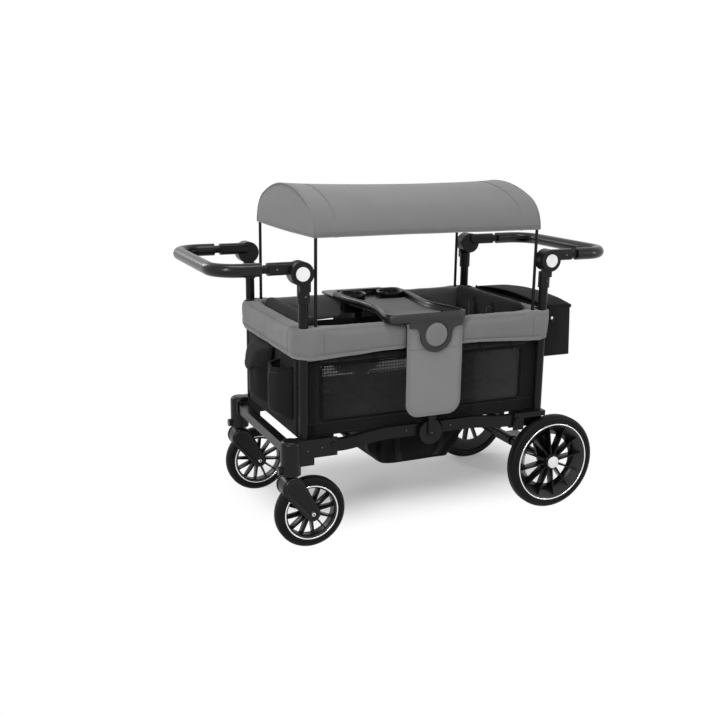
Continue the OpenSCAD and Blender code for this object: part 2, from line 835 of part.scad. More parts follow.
function arch_line(d) = concat(
  [for (i = [0 : roof_side_n]) let (a = (90 - arch_t) * i / roof_side_n)
    [arch_a - arch_side + (arch_side + d) * cos(a), (arch_side + d) * sin(a)]],
  [for (i = [1 : roof_crown_n]) let (a = 90 - arch_t + 2 * arch_t * i / roof_crown_n)
    [(arch_r + d) * cos(a), canopy_rise - arch_r + (arch_r + d) * sin(a)]],
  [for (i = [1 : roof_side_n]) let (a = 90 + arch_t + (90 - arch_t) * i / roof_side_n)
    [arch_side - arch_a + (arch_side + d) * cos(a), (arch_side + d) * sin(a)]]);
roof_in_x = hoop_x - hoop_d - cut;
roof_xs = concat([-roof_x], [for (i = [0 : roof_nx]) roof_in_x * (2 * i / roof_nx - 1)], [roof_x]);
function roof_drop(x) = 1 - canopy_sag_share * max(0, 1 - x * x / (roof_in_x * roof_in_x));
function roof_points(d) = [for (x = roof_xs, p = arch_line(d)) [x, p[0], canopy_z + p[1] * roof_drop(x)]];

// canopy cloth: a roof that sags between the hoops, and an end panel at each hoop
module canopy() {
  m = len(arch_line(0));
  n = len(roof_xs);
  s = n * m;
  polyhedron(concat(roof_points(roof_gap + roof_t), roof_points(roof_gap)), concat(
    [for (i = [0 : n - 2], k = [0 : m - 2]) let (a = i * m + k) [a, a + m + 1, a + 1]],
    [for (i = [0 : n - 2], k = [0 : m - 2]) let (a = i * m + k) [a, a + m, a + m + 1]],
    [for (i = [0 : n - 2], k = [0 : m - 2]) let (a = s + i * m + k) [a, a + 1, a + m + 1]],
    [for (i = [0 : n - 2], k = [0 : m - 2]) let (a = s + i * m + k) [a, a + m + 1, a + m]],
    [for (i = [0 : n - 2]) let (a = i * m, b = a + m) [a, s + a, s + b]],
    [for (i = [0 : n - 2]) let (a = i * m, b = a + m) [a, s + b, b]],
    [for (i = [0 : n - 2]) let (a = i * m + m - 1, b = a + m) [a, b, s + b]],
    [for (i = [0 : n - 2]) let (a = i * m + m - 1, b = a + m) [a, s + b, s + a]],
    [for (k = [0 : m - 2]) [k, k + 1, s + k + 1]],
    [for (k = [0 : m - 2]) [k, s + k + 1, s + k]],
    [for (k = [0 : m - 2]) let (a = (n - 1) * m + k) [a, s + a, s + a + 1]],
    [for (k = [0 : m - 2]) let (a = (n - 1) * m + k) [a, s + a + 1, a + 1]]));
  for (x = [hoop_x + hoop_d / 2 + air, -hoop_x - hoop_d / 2 - air - end_panel_t])
    grow_x(x, end_panel_t) translate([0, canopy_z]) polygon(arch_line(hoop_d / 2));
}

function tray_half(y, w) = w + (tray_x - tray_waist_x) * smooth((-y - tray_bend_y) / (tray_flare_y - tray_bend_y))
  + (tray_far_x - tray_waist_x) * smooth((y + tray_bend_y) / (2 * tray_bend_y));
function tray_side(w, y_from, y_to, r) = let (c = y_from + r, n = tray_steps) concat(
  [for (i = [0 : corner_n]) let (a = 90 * i / corner_n) [tray_half(c, w) - r + r * sin(a), c - r * cos(a)]],
  [for (i = [1 : n]) let (y = c + (y_to - c) * i / n) [tray_half(y, w), y]]);
function tray_line(w, y_from, y_to, r) = let (side = tray_side(w, y_from, y_to, r))
  concat(side, [for (p = turned(side)) [-p[0], p[1]]]);

// end plate of the tray, with the ring round the release button
module tray_skirt(w) {
  ease = (w - ring_out) * skirt_ease_share;
  grow_y(skirt_y, skirt_t) difference() {
    union() {
      translate([0, rim_z]) circle(ring_out);
      difference() {
        translate([-w, rim_z]) square([2 * w, tray_z - rim_z]);
        for (i = [-1, 1]) translate([i * (ring_out + ease), rim_z]) circle(ease);
        for (i = [-1, 1]) translate([i * w, rim_z]) square(2 * [w - ring_out - ease, ease], center = true);
      }
    }
    translate([0, rim_z]) circle(tray_button_d / 2 + 2 * slip);
  }
}

// tray across the middle: a plate with a raised edge, two cup holders and a low tongue to the right rail
module tray() {
  difference() {
    union() {
      translate([tray_shift, 0, tray_low]) linear_extrude(tray_t)
        polygon(tray_line(tray_waist_x, -tray_end_y, skirt_y + cut, tray_corner));
      translate([tray_shift, 0, tray_low]) linear_extrude(tray_t + tray_lip) difference() {
        polygon(tray_line(tray_waist_x, -tray_end_y, tray_lip_y, tray_corner));
        polygon(tray_line(tray_waist_x - tray_edge, tray_edge - tray_end_y, tray_lip_y - tray_edge,
          tray_corner - tray_edge));
      }
      to_right() tray_skirt(skirt_x);
      tray_skirt(skirt_x);
      for (x = [-cup_x, cup_x]) translate([tray_shift + x, cup_y, tray_z - cup_depth])
        cylinder(r = cup_d / 2 + cup_wall, h = cup_depth + cup_rise);
    }
    for (x = [-cup_x, cup_x]) translate([tray_shift + x, cup_y, tray_z - cup_depth + cup_wall])
      cylinder(r = cup_d / 2, h = 2 * cup_depth);
  }
}

module tray_mat() {
  y_end = tray_flat_y + mat_inset;
  translate([tray_shift, 0, tray_z]) linear_extrude(mat_t) intersection() {
    polygon(tray_line(tray_waist_x - mat_inset, -y_end, y_end, mat_corner));
    translate([-tray_x, -y_end]) square([2 * tray_x, y_end + mat_end_y]);
  }
}

module tray_button(s) {
  mirror([0, s > 0 ? 0 : 1, 0])
    rod_y(0, rim_z, tray_button_d / 2, tray_end_y + tray_button_proud - tray_button_t, tray_end_y + tray_button_proud);
}

module centre_posts() {
  sides() grow_y(bar_y, flat_bar_t) difference() {
    union() {
      translate([0, low_z]) circle(flat_bar_w / 2);
      translate([-flat_bar_w / 2, low_z]) square([flat_bar_w, tray_low - air - low_z]);
    }
    for (z = [low_z, rim_z]) translate([0, z]) circle(pin_r + slip);
  }
}

module centre_hubs() {
  sides() difference() {
    rod_y(0, low_z, hinge_d / 2, disc_y, disc_y + disc_t);
    rod_y(0, low_z, pin_r + slip, disc_y - cut, disc_y + disc_t + cut);
  }
  sides() difference() {
    rod_y(0, rim_z, spacer_r, top_out + play, bar_y - air);
    rod_y(0, rim_z, pin_r + slip, top_out - cut, bar_y + cut);
  }
}

module centre_pins() {
  sides() rod_y(0, low_z, pin_r, rail_in - pin_head_t, bar_y + flat_bar_t);
  sides() rod_y(0, rim_z, pin_r, top_in - pin_head_t, bar_y + flat_bar_t);
}

module hinge_flaps() {
  w = rim_gap_x - flap_edge;
  sides() grow_y(flap_y, flap_t) {
    translate([-w, flap_low + flap_corner]) square([2 * w, flap_top - flap_low - flap_corner]);
    translate([-w + flap_corner, flap_low]) square([2 * (w - flap_corner), flap_corner + cut]);
    for (i = [-1, 1]) translate([i * (w - flap_corner), flap_low + flap_corner]) circle(flap_corner);
  }
}

module brake_pedal() {
  difference() {
    union() {
      rod_y(rear_axle_x, rear_r, pedal_r, -pedal_y, pedal_y);
      box([rear_axle_x, rear_axle_x + pedal_l], [-pedal_y, pedal_y], [rear_r - pedal_t / 2, rear_r + pedal_t / 2]);
    }
    rod_y(rear_axle_x, rear_r, axle_tube_r + slip, -pedal_y - cut, pedal_y + cut);
  }
}

color("#1c1c1e") end_frame();  // rear_end_frame
color("#19191b") rear_brackets();
color("#9a9a9c")  // rear_axle
  rod_y(rear_axle_x, rear_r, axle_r, -rear_wheel_y - rear_tyre_w / 2, rear_wheel_y + rear_tyre_w / 2);
color("#161617") hub_bases();  // rear_hub_bases
color("#141414") hoop();  // rear_canopy_hoop
color("#858585") end_pad();  // rear_rim_pad
color("#1b1b1c") end_wall();  // rear_end_wall
color("#1b1b1c") rear_bag();
color("#9a9a9c") end_pins();  // rear_hinge_pins
color("#858585") canopy();
color("#2a2a2b") seat();  // rear_seat
color("#1c1c1e") to_front() end_frame();  // front_end_frame
color("#2a2a2b")  // front_crossbar
  box([-swivel_x - crossbar_w / 2, -swivel_x + crossbar_w / 2], [-flange_in + air, flange_in - air],
    [crossbar_z - crossbar_h / 2, crossbar_z + crossbar_h / 2]);
color("#19191b") castor_housings();
color("#161617") to_front() hub_bases();  // front_hub_bases
color("#141414") to_front() hoop();  // front_canopy_hoop
color("#858585") to_front() end_pad();  // front_rim_pad
color("#1b1b1c") to_front() {  // front_end_wall
  end_wall();
  pocket(-pocket_y, pocket_w, pocket_low, pocket_top, sheet);
  pocket(-pocket_far_y, pocket_far_w, pocket_low, pocket_top, sheet);
}
color("#9a9a9c") to_front() end_pins();  // front_hinge_pins
color("#2a2a2b") to_front() seat();  // front_seat
color("#1c1c1e") floor_frame(rear_dip, false);  // rear_floor_frame
color("#1c1c1e") to_front() floor_frame(front_dip, true);  // front_floor_frame
color("#1c1c1e") side_rails(false);  // rear_side_rails
color("#1c1c1e") to_front() side_rails(true);  // front_side_rails
color("#858585") side_pads();  // rear_side_pads
color("#858585") to_front() side_pads();  // front_side_pads
color("#1b1b1c") side_walls();  // rear_side_walls
color("#1b1b1c") to_front() side_walls();  // front_side_walls
color("#1c1c1e") centre_posts();
color("#161617") centre_hubs();
color("#9a9a9c") centre_pins();  // centre_hinge_pins
color("#858585") hinge_flaps();
color("#1b1b1c") basket();
color("#151515") at_rear() tyre(rear_r, rear_ring_d / 2, rear_tyre_w);  // rear_tyre_left
color("#151515")  // rear_tyre_right
  to_right() at_rear() tyre(rear_r, rear_ring_d / 2, rear_tyre_w);
color("#1a1a1b") at_rear() rear_wheel();  // rear_wheel_left
color("#1a1a1b") to_right() at_rear() rear_wheel();  // rear_wheel_right
color("#232324") lock(-1);  // castor_lock_left
color("#232324") lock(1);  // castor_lock_right
color("#151515") at_castor() tyre(front_r, front_ring_d / 2, front_tyre_w);  // front_tyre_left
color("#151515")  // front_tyre_right
  to_right() at_castor() tyre(front_r, front_ring_d / 2, front_tyre_w);
color("#1a1a1b")  // front_wheel_left
  at_castor() wheel(front_ring_d / 2, front_tyre_w, front_hub_r, bolt_r);
color("#1a1a1b")  // front_wheel_right
  to_right() at_castor() wheel(front_ring_d / 2, front_tyre_w, front_hub_r, bolt_r);
color("#19191b") fork();  // castor_fork_left
color("#19191b") to_right() fork();  // castor_fork_right
color("#161617") to_front() handle_arms();  // front_handle_arms
color("#1c1c1e") to_front() handle_bar();  // front_handle_bar
color("#141414") to_front() handle_grip();  // front_handle_grip
color("#161617") handle_arms();  // rear_handle_arms
color("#1c1c1e") handle_bar();  // rear_handle_bar
color("#141414") handle_grip();  // rear_handle_grip
color("#e8e8e8") to_front() hub_button(-1);  // front_button_left
color("#e8e8e8") to_front() hub_button(1);  // front_button_right
color("#e8e8e8") hub_button(-1);  // rear_button_left
color("#e8e8e8") hub_button(1);  // rear_button_right
color("#1a1a1b") tray();
color("#858585") tray_mat();
color("#858585") tray_button(-1);  // tray_button_left
color("#858585") tray_button(1);  // tray_button_right
color("#161617") brake_pedal();
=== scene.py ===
# %% [markdown]
# # A folding stroller wagon
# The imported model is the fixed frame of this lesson: tubes, rails, hinges, wheels and
# handles stand where the CAD puts them. Here they get their finishes, and the soft parts
# (canopy, padded rim, tub, seats, bags, basket) are sewn in their place.

# %% Load the frame
import math
import bpy
import bmesh
from mathutils import Matrix, Vector, noise


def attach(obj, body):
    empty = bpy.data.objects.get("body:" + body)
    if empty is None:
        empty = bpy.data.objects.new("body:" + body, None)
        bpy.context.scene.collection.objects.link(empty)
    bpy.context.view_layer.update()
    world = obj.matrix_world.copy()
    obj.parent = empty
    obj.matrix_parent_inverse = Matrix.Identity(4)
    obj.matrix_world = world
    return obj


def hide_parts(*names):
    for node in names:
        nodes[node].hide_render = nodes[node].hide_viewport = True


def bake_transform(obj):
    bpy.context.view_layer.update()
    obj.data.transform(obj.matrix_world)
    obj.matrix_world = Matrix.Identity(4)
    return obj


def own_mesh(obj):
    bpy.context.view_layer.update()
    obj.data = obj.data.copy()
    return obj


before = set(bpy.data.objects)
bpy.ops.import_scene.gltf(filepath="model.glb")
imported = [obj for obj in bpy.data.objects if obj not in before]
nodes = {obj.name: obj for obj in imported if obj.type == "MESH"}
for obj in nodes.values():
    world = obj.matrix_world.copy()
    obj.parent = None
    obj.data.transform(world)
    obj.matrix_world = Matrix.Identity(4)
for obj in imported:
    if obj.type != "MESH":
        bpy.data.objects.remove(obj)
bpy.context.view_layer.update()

scene = bpy.context.scene

# %% [markdown]
# ## Camera
# The camera was solved from the wheels, posts and rim corners: its place, its three angles
# and its focal length. A 36 mm sensor and 943 pixels of focal length in a 717 pixel frame
# give the lens.

# %% Camera
CAMERA_PLACE = Vector((-1.3945, -2.8184, 1.2696))
CAMERA_YAW, CAMERA_PITCH, CAMERA_ROLL = (math.radians(a) for a in (24.21, 13.70, 0.705))
FRAME_PX, FOCAL_PX, SENSOR = 717, 943.36, 36.0


def aim_camera():
    ahead = Vector((math.sin(CAMERA_YAW) * math.cos(CAMERA_PITCH),
            math.cos(CAMERA_YAW) * math.cos(CAMERA_PITCH), -math.sin(CAMERA_PITCH)))
    right = Vector((math.cos(CAMERA_YAW), -math.sin(CAMERA_YAW), 0))
    up = right.cross(ahead)
    side = right * math.cos(CAMERA_ROLL) + up * math.sin(CAMERA_ROLL)
    top = up * math.cos(CAMERA_ROLL) - right * math.sin(CAMERA_ROLL)
    turn = Matrix((side, top, -ahead)).transposed().to_4x4()
    turn.translation = CAMERA_PLACE
    data = bpy.data.cameras.new("camera")
    data.sensor_width = SENSOR
    data.lens = SENSOR * FOCAL_PX / FRAME_PX
    camera = bpy.data.objects.new("camera", data)
    camera.matrix_world = turn
    scene.collection.objects.link(camera)
    scene.camera = camera
    return camera


print("lens", round(aim_camera().data.lens, 2), "mm")

# %% [markdown]
# ## Small tools for nodes
# Every finish below is a node tree. These three helpers keep the trees readable: one makes
# a node and sets its values, one joins two sockets, one does arithmetic.


# %% Node helpers
def add(tree, kind, **values):
    node = tree.nodes.new(kind)
    for key, value in values.items():
        if hasattr(node, key):
            setattr(node, key, value)
        else:
            node.inputs[key.replace("_", " ")].default_value = value
    return node


def join(tree, a, b):
    tree.links.new(a, b)


def calc(tree, operation, a, b=None, c=None):
    node = tree.nodes.new("ShaderNodeMath")
    node.operation = operation
    for socket, value in zip(node.inputs, (a, b, c)):
        if value is None:
            continue
        if isinstance(value, (int, float)):
            socket.default_value = value
        else:
            tree.links.new(value, socket)
    return node.outputs[0]


def group_sockets(tree, inputs, outputs):
    for name, kind, value in inputs:
        socket = tree.interface.new_socket(name, in_out="INPUT", socket_type=kind)
        if value is not None:
            socket.default_value = value
    for name, kind in outputs:
        tree.interface.new_socket(name, in_out="OUTPUT", socket_type=kind)
    return tree.nodes.new("NodeGroupInput"), tree.nodes.new("NodeGroupOutput")


VECTOR, FLOAT = "NodeSocketVector", "NodeSocketFloat"
MIX_SHARE, MIX_A, MIX_B, MIX_OUT = 0, 6, 7, 2
print("node helpers: add, join, calc, group_sockets")

# %% [markdown]
# ## Studio
# A pale floor under soft light from above, from the left and, weaker, from the right and behind.
# Away from the wagon's footprint the floor fades to plain white for the rays that the camera sees,
# directly or in a reflection, so the background is white without more light on the wagon, and the
# floor under it keeps its shadow.


# %% Floor and world
def seen_rays(tree):
    path = tree.nodes.new("ShaderNodeLightPath")
    seen = calc(tree, "MAXIMUM", path.outputs["Is Camera Ray"], path.outputs["Is Glossy Ray"])
    return calc(tree, "MAXIMUM", seen, path.outputs["Is Transmission Ray"])


FLOOR_SIZE, FLOOR_WHITE = 24.0, 0.22
SHADE_CENTRE, SHADE_HALF, SHADE_FADE = (0.16, 0.20, 0.0), (0.36, 0.10, 0.0), 0.34


def floor_material():
    material = bpy.data.materials.new("studio_floor")
    material.use_nodes = True
    tree = material.node_tree
    tree.nodes.clear()
    out = tree.nodes.new("ShaderNodeOutputMaterial")
    paint = add(tree, "ShaderNodeBsdfDiffuse", Color=(0.93, 0.93, 0.93, 1))
    white = add(tree, "ShaderNodeEmission", Color=(1, 1, 1, 1), Strength=1.0)
    place = tree.nodes.new("ShaderNodeTexCoord")
    spot = place.outputs["Object"]
    for operation, value in (("SUBTRACT", SHADE_CENTRE), ("ABSOLUTE", None), ("SUBTRACT", SHADE_HALF),
            ("MAXIMUM", (0, 0, 0)), ("LENGTH", None)):
        step = add(tree, "ShaderNodeVectorMath", operation=operation)
        join(tree, spot, step.inputs[0])
        if value:
            step.inputs[1].default_value = value
        spot = step.outputs["Value"] if operation == "LENGTH" else step.outputs[0]
    fade = add(tree, "ShaderNodeMapRange", interpolation_type="SMOOTHSTEP", From_Max=SHADE_FADE,
            To_Min=FLOOR_WHITE)
    join(tree, spot, fade.inputs["Value"])
    mix = tree.nodes.new("ShaderNodeMixShader")
    join(tree, calc(tree, "MULTIPLY", fade.outputs[0], seen_rays(tree)), mix.inputs[0])
    join(tree, paint.outputs[0], mix.inputs[1])
    join(tree, white.outputs[0], mix.inputs[2])
    join(tree, mix.outputs[0], out.inputs["Surface"])
    return material


def make_world():
    world = bpy.data.worlds.new("studio")
    world.use_nodes = True
    tree = world.node_tree
    tree.nodes.clear()
    out = tree.nodes.new("ShaderNodeOutputWorld")
    soft = add(tree, "ShaderNodeBackground", Color=(1, 1, 1, 1), Strength=0.37)
    plain = add(tree, "ShaderNodeBackground", Color=(1, 1, 1, 1), Strength=1.0)
    mix = tree.nodes.new("ShaderNodeMixShader")
    join(tree, seen_rays(tree), mix.inputs[0])
    join(tree, soft.outputs[0], mix.inputs[1])
    join(tree, plain.outputs[0], mix.inputs[2])
    join(tree, mix.outputs[0], out.inputs["Surface"])
    scene.world = world


floor_mesh = bpy.data.meshes.new("floor")
half = FLOOR_SIZE / 2
floor_mesh.from_pydata([(-half, -half, 0), (half, -half, 0), (half, half, 0), (-half, half, 0)], [],
        [(0, 1, 2, 3)])
floor_mesh.materials.append(floor_material())
floor = bpy.data.objects.new("floor", floor_mesh)
scene.collection.objects.link(floor)
make_world()
scene.view_settings.view_transform = "Standard"
print("floor", FLOOR_SIZE, "m wide, world lit")

# %% [markdown]
# ## Lamps
# Soft boxes light the wagon from above, from both sides and from behind. Area lamps give soft shadows
# and long highlights on the tubes, which a sun or a point lamp would not.


# %% Lamps
def soft_box(name, place, aim, size, power):
    data = bpy.data.lights.new(name, "AREA")
    data.shape = "RECTANGLE"
    data.size, data.size_y = size
    data.energy = power
    lamp = bpy.data.objects.new(name, data)
    lamp.location = place
    lamp.rotation_euler = (Vector(aim) - Vector(place)).to_track_quat("-Z", "Y").to_euler()
    scene.collection.objects.link(lamp)


soft_box("lamp_top", (-0.4, -0.7, 3.4), (0, 0, 0.4), (1.8, 0.5), 40)
soft_box("lamp_left", (-2.9, -2.4, 2.4), (0, 0, 0.5), (0.3, 1.5), 60)
soft_box("lamp_right", (2.9, -2.2, 1.3), (0, 0, 0.5), (0.25, 1.4), 20)
soft_box("lamp_back", (-1.9, 3.0, 2.2), (0, 0, 0.5), (0.6, 1.4), 30)
print("studio: floor, world and four soft boxes")

# %% [markdown]
# ## Shared surface effects
# Three effects come back in many finishes, so each is a node group: a plain weave for cloth,
# the fine grain of moulded plastic and powder coat, and a thin film of dust that lies in
# patches. They give heights and masks only; the shader stays in each material.


# %% Weave group
def build_weave():
    tree = bpy.data.node_groups.new("plain_weave", "ShaderNodeTree")
    start, end = group_sockets(tree, [("Cloth", VECTOR, None), ("Threads per metre", FLOAT, 700.0),
            ("Mottle", FLOAT, 0.1), ("Patch size", FLOAT, 9.0)], [("Height", FLOAT), ("Tint", FLOAT)])
    parts = tree.nodes.new("ShaderNodeSeparateXYZ")
    join(tree, start.outputs["Cloth"], parts.inputs[0])
    turns = calc(tree, "MULTIPLY", start.outputs["Threads per metre"], 2 * math.pi / 2)
    warp = calc(tree, "SINE", calc(tree, "MULTIPLY", parts.outputs[0], turns))
    weft = calc(tree, "SINE", calc(tree, "MULTIPLY", parts.outputs[1], turns))
    over = calc(tree, "MULTIPLY", warp, weft)
    height = calc(tree, "MULTIPLY_ADD", over, 0.5, 0.5)
    slub = add(tree, "ShaderNodeTexNoise", Detail=3.0, Roughness=0.65)
    join(tree, start.outputs["Cloth"], slub.inputs["Vector"])
    join(tree, calc(tree, "MULTIPLY", start.outputs["Patch size"], 22.0), slub.inputs["Scale"])
    patch = add(tree, "ShaderNodeTexNoise", Detail=2.0)
    join(tree, start.outputs["Cloth"], patch.inputs["Vector"])
    join(tree, start.outputs["Patch size"], patch.inputs["Scale"])
    both = calc(tree, "ADD", slub.outputs[0], patch.outputs[0])
    swing = calc(tree, "MULTIPLY", calc(tree, "SUBTRACT", both, 1.0), start.outputs["Mottle"])
    join(tree, height, end.inputs["Height"])
    join(tree, calc(tree, "ADD", calc(tree, "MULTIPLY_ADD", over, 0.035, 1.0), swing), end.inputs["Tint"])
    return tree


print("weave: recipe ready")

# %% [markdown]
# ## Grain and dust
# Moulded plastic and powder coat have a fine pebble, and things used outdoors carry a little dust.
# A shared group keeps both at one scale, and each finish sets its own amount.


# %% Grain and dust groups
def build_grain():
    tree = bpy.data.node_groups.new("moulded_grain", "ShaderNodeTree")
    start, end = group_sockets(tree, [("Place", VECTOR, None), ("Grain size", FLOAT, 900.0)],
            [("Height", FLOAT), ("Mask", FLOAT)])
    pebble = add(tree, "ShaderNodeTexVoronoi", feature="SMOOTH_F1")
    join(tree, start.outputs["Place"], pebble.inputs["Vector"])
    join(tree, start.outputs["Grain size"], pebble.inputs["Scale"])
    cloud = add(tree, "ShaderNodeTexNoise", Scale=14.0, Detail=4.0)
    join(tree, start.outputs["Place"], cloud.inputs["Vector"])
    join(tree, pebble.outputs["Distance"], end.inputs["Height"])
    join(tree, cloud.outputs[0], end.inputs["Mask"])
    return tree


def build_dust():
    tree = bpy.data.node_groups.new("thin_dust", "ShaderNodeTree")
    start, end = group_sockets(tree, [("Place", VECTOR, None), ("Amount", FLOAT, 0.2),
            ("Low edge", FLOAT, 0.25)], [("Mask", FLOAT)])
    cloud = add(tree, "ShaderNodeTexNoise", Scale=26.0, Detail=6.0, Roughness=0.7)
    join(tree, start.outputs["Place"], cloud.inputs["Vector"])
    parts = tree.nodes.new("ShaderNodeSeparateXYZ")
    join(tree, start.outputs["Place"], parts.inputs[0])
    low = add(tree, "ShaderNodeMapRange", From_Min=0.0, To_Min=1.0, To_Max=0.15)
    join(tree, parts.outputs[2], low.inputs["Value"])
    join(tree, start.outputs["Low edge"], low.inputs["From Max"])
    speck = add(tree, "ShaderNodeMapRange", From_Min=0.45, From_Max=0.75)
    join(tree, cloud.outputs[0], speck.inputs["Value"])
    mask = calc(tree, "MULTIPLY", calc(tree, "MULTIPLY", speck.outputs[0], low.outputs[0]),
            start.outputs["Amount"])
    join(tree, mask, end.inputs["Mask"])
    return tree


WEAVE, GRAIN, DUST = build_weave(), build_grain(), build_dust()
print("groups:", WEAVE.name, GRAIN.name, DUST.name)

# %% [markdown]
# ## Cloth finishes
# The grey cloth is a heathered polyester: a dense plain weave, a little lighter and darker in
# patches, with almost no gloss and a soft sheen at grazing angles. The black cloth is the same
# weave, coarser. Both read the piece's own UV map, which is laid out in metres, so the threads
# run along the cut of each panel.


# %% Cloth material
def blank_material(name):
    material = bpy.data.materials.new(name)
    material.use_nodes = True
    tree = material.node_tree
    return material, tree, tree.nodes["Principled BSDF"]


def tinted(tree, color, tint):
    mix = add(tree, "ShaderNodeMix", data_type="RGBA", blend_type="MULTIPLY")
    mix.inputs[MIX_SHARE].default_value = 1.0
    mix.inputs[MIX_A].default_value = (*color, 1)
    gray = tree.nodes.new("ShaderNodeCombineColor")
    for channel in gray.inputs:
        join(tree, tint, channel)
    join(tree, gray.outputs[0], mix.inputs[MIX_B])
    return mix.outputs[MIX_OUT]


def cloth_finish(name, color, threads, mottle, rough=0.92, sheen=0.25, bump=0.35, by_uv=True, gloss=0.12):
    material, tree, shader = blank_material(name)
    place = tree.nodes.new("ShaderNodeTexCoord")
    weave = add(tree, "ShaderNodeGroup", node_tree=WEAVE)
    weave.inputs["Threads per metre"].default_value = threads
    weave.inputs["Mottle"].default_value = mottle
    join(tree, place.outputs["UV" if by_uv else "Object"], weave.inputs["Cloth"])
    join(tree, tinted(tree, color, weave.outputs["Tint"]), shader.inputs["Base Color"])
    knit = add(tree, "ShaderNodeBump", Strength=bump, Distance=0.0004)
    join(tree, weave.outputs["Height"], knit.inputs["Height"])
    join(tree, knit.outputs[0], shader.inputs["Normal"])
    spread = calc(tree, "MULTIPLY_ADD", weave.outputs["Height"], 0.1, rough - 0.08)
    join(tree, spread, shader.inputs["Roughness"])
    shader.inputs["Sheen Weight"].default_value = sheen
    shader.inputs["Sheen Roughness"].default_value = 0.5
    shader.inputs["Specular IOR Level"].default_value = gloss
    return material


grey_cloth = cloth_finish("grey_cloth", (0.178, 0.178, 0.179), 900, 0.16)
grey_flap = cloth_finish("grey_flap", (0.226, 0.226, 0.226), 900, 0.10)
grey_trim = cloth_finish("grey_trim", (0.200, 0.200, 0.200), 1300, 0.08)
black_cloth = cloth_finish("black_cloth", (0.0115, 0.0115, 0.0119), 800, 0.3, sheen=0.05)
seat_cloth = cloth_finish("seat_cloth", (0.019, 0.019, 0.0198), 620, 0.35, sheen=0.1)
net_black = cloth_finish("net_black", (0.012, 0.012, 0.0125), 500, 0.2, rough=0.7, by_uv=False)
web_black = cloth_finish("web_black", (0.0085, 0.0085, 0.0088), 420, 0.15, rough=0.7, sheen=0.05, bump=0.6,
        gloss=0.06)
basket_black = cloth_finish("basket_black", (0.0045, 0.0045, 0.0047), 700, 0.35, rough=0.6, sheen=0.0,
        gloss=0.05)
thread_grey = cloth_finish("thread_grey", (0.125, 0.125, 0.125), 2500, 0.05, by_uv=False)
thread_black = cloth_finish("thread_black", (0.035, 0.035, 0.036), 2500, 0.05, by_uv=False)
print("cloth finishes: 10")

# %% [markdown]
# ## Hard finishes
# Powder coat, moulded plastic, grip foam and tyre rubber are all black, and differ in gloss
# and grain. Edges are softened in the shading by a Bevel node, because a moulded edge is
# never sharp and its thin highlight is what shows the shape of a black part.


# %% Hard material
def hard_finish(name, color, rough, grain=900, bump=0.12, metallic=0.0, dust=0.0, soften=0.0012,
        specular=0.5, coat=0.0, vary=0.12):
    material, tree, shader = blank_material(name)
    place = tree.nodes.new("ShaderNodeTexCoord")
    grainy = add(tree, "ShaderNodeGroup", node_tree=GRAIN)
    grainy.inputs["Grain size"].default_value = grain
    join(tree, place.outputs["Object"], grainy.inputs["Place"])
    cloud = calc(tree, "MULTIPLY_ADD", grainy.outputs["Mask"], 0.3, 0.85)
    base = tinted(tree, color, cloud)
    if dust:
        film = add(tree, "ShaderNodeGroup", node_tree=DUST)
        film.inputs["Amount"].default_value = dust
        join(tree, place.outputs["Object"], film.inputs["Place"])
        cover = add(tree, "ShaderNodeMix", data_type="RGBA")
        join(tree, film.outputs["Mask"], cover.inputs[MIX_SHARE])
        join(tree, base, cover.inputs[MIX_A])
        cover.inputs[MIX_B].default_value = (0.16, 0.15, 0.14, 1)
        base = cover.outputs[MIX_OUT]
    join(tree, base, shader.inputs["Base Color"])
    join(tree, calc(tree, "MULTIPLY_ADD", grainy.outputs["Mask"], vary, rough - vary / 2),
            shader.inputs["Roughness"])
    fine = add(tree, "ShaderNodeBump", Strength=bump, Distance=0.0003)
    join(tree, grainy.outputs["Height"], fine.inputs["Height"])
    if soften:
        edge = add(tree, "ShaderNodeBevel", samples=4, Radius=soften)
        join(tree, edge.outputs[0], fine.inputs["Normal"])
    join(tree, fine.outputs[0], shader.inputs["Normal"])
    shader.inputs["Metallic"].default_value = metallic
    shader.inputs["Specular IOR Level"].default_value = specular
    shader.inputs["Coat Weight"].default_value = coat
    return material


powder_coat = hard_finish("powder_coat", (0.0060, 0.0060, 0.0063), 0.27, grain=1500, bump=0.02, dust=0.03,
        specular=0.16)
rod_coat = hard_finish("rod_coat", (0.0055, 0.0055, 0.0058), 0.27, grain=1800, bump=0.05, specular=0.15)
moulded = hard_finish("moulded_black", (0.0068, 0.0068, 0.0072), 0.30, grain=1200, bump=0.03, soften=0.0025,
        specular=0.18)
tray_black = hard_finish("tray_black", (0.0075, 0.0075, 0.0078), 0.27, grain=1500, bump=0.0, soften=0.001,
        specular=0.26)
tray_grey = hard_finish("tray_grey", (0.030, 0.030, 0.0308), 0.42, grain=1500, bump=0.08, soften=0.001,
        specular=0.26)
wheel_black = hard_finish("wheel_black", (0.0040, 0.0040, 0.0042), 0.27, grain=1300, bump=0.05, dust=0.02,
        soften=0.0015, specular=0.13)
grip_foam = hard_finish("grip_foam", (0.0045, 0.0045, 0.0047), 0.26, grain=2200, bump=0.0, soften=0.0,
        specular=0.28, vary=0.04)
tyre_rubber = hard_finish("tyre_rubber", (0.0058, 0.0058, 0.0060), 0.45, grain=700, bump=0.2, dust=0.04,
        soften=0.0, specular=0.10)
barrel_black = hard_finish("barrel_black", (0.0060, 0.0060, 0.0062), 0.34, grain=1500, bump=0.0, soften=0.0,
        specular=0.36)
screw_steel = hard_finish("screw_steel", (0.16, 0.16, 0.163), 0.34, grain=2500, bump=0.0, metallic=1.0,
        soften=0.0005)
bright_ring = hard_finish("bright_ring", (0.86, 0.86, 0.87), 0.22, grain=2500, bump=0.02, metallic=1.0,
        soften=0.0006)
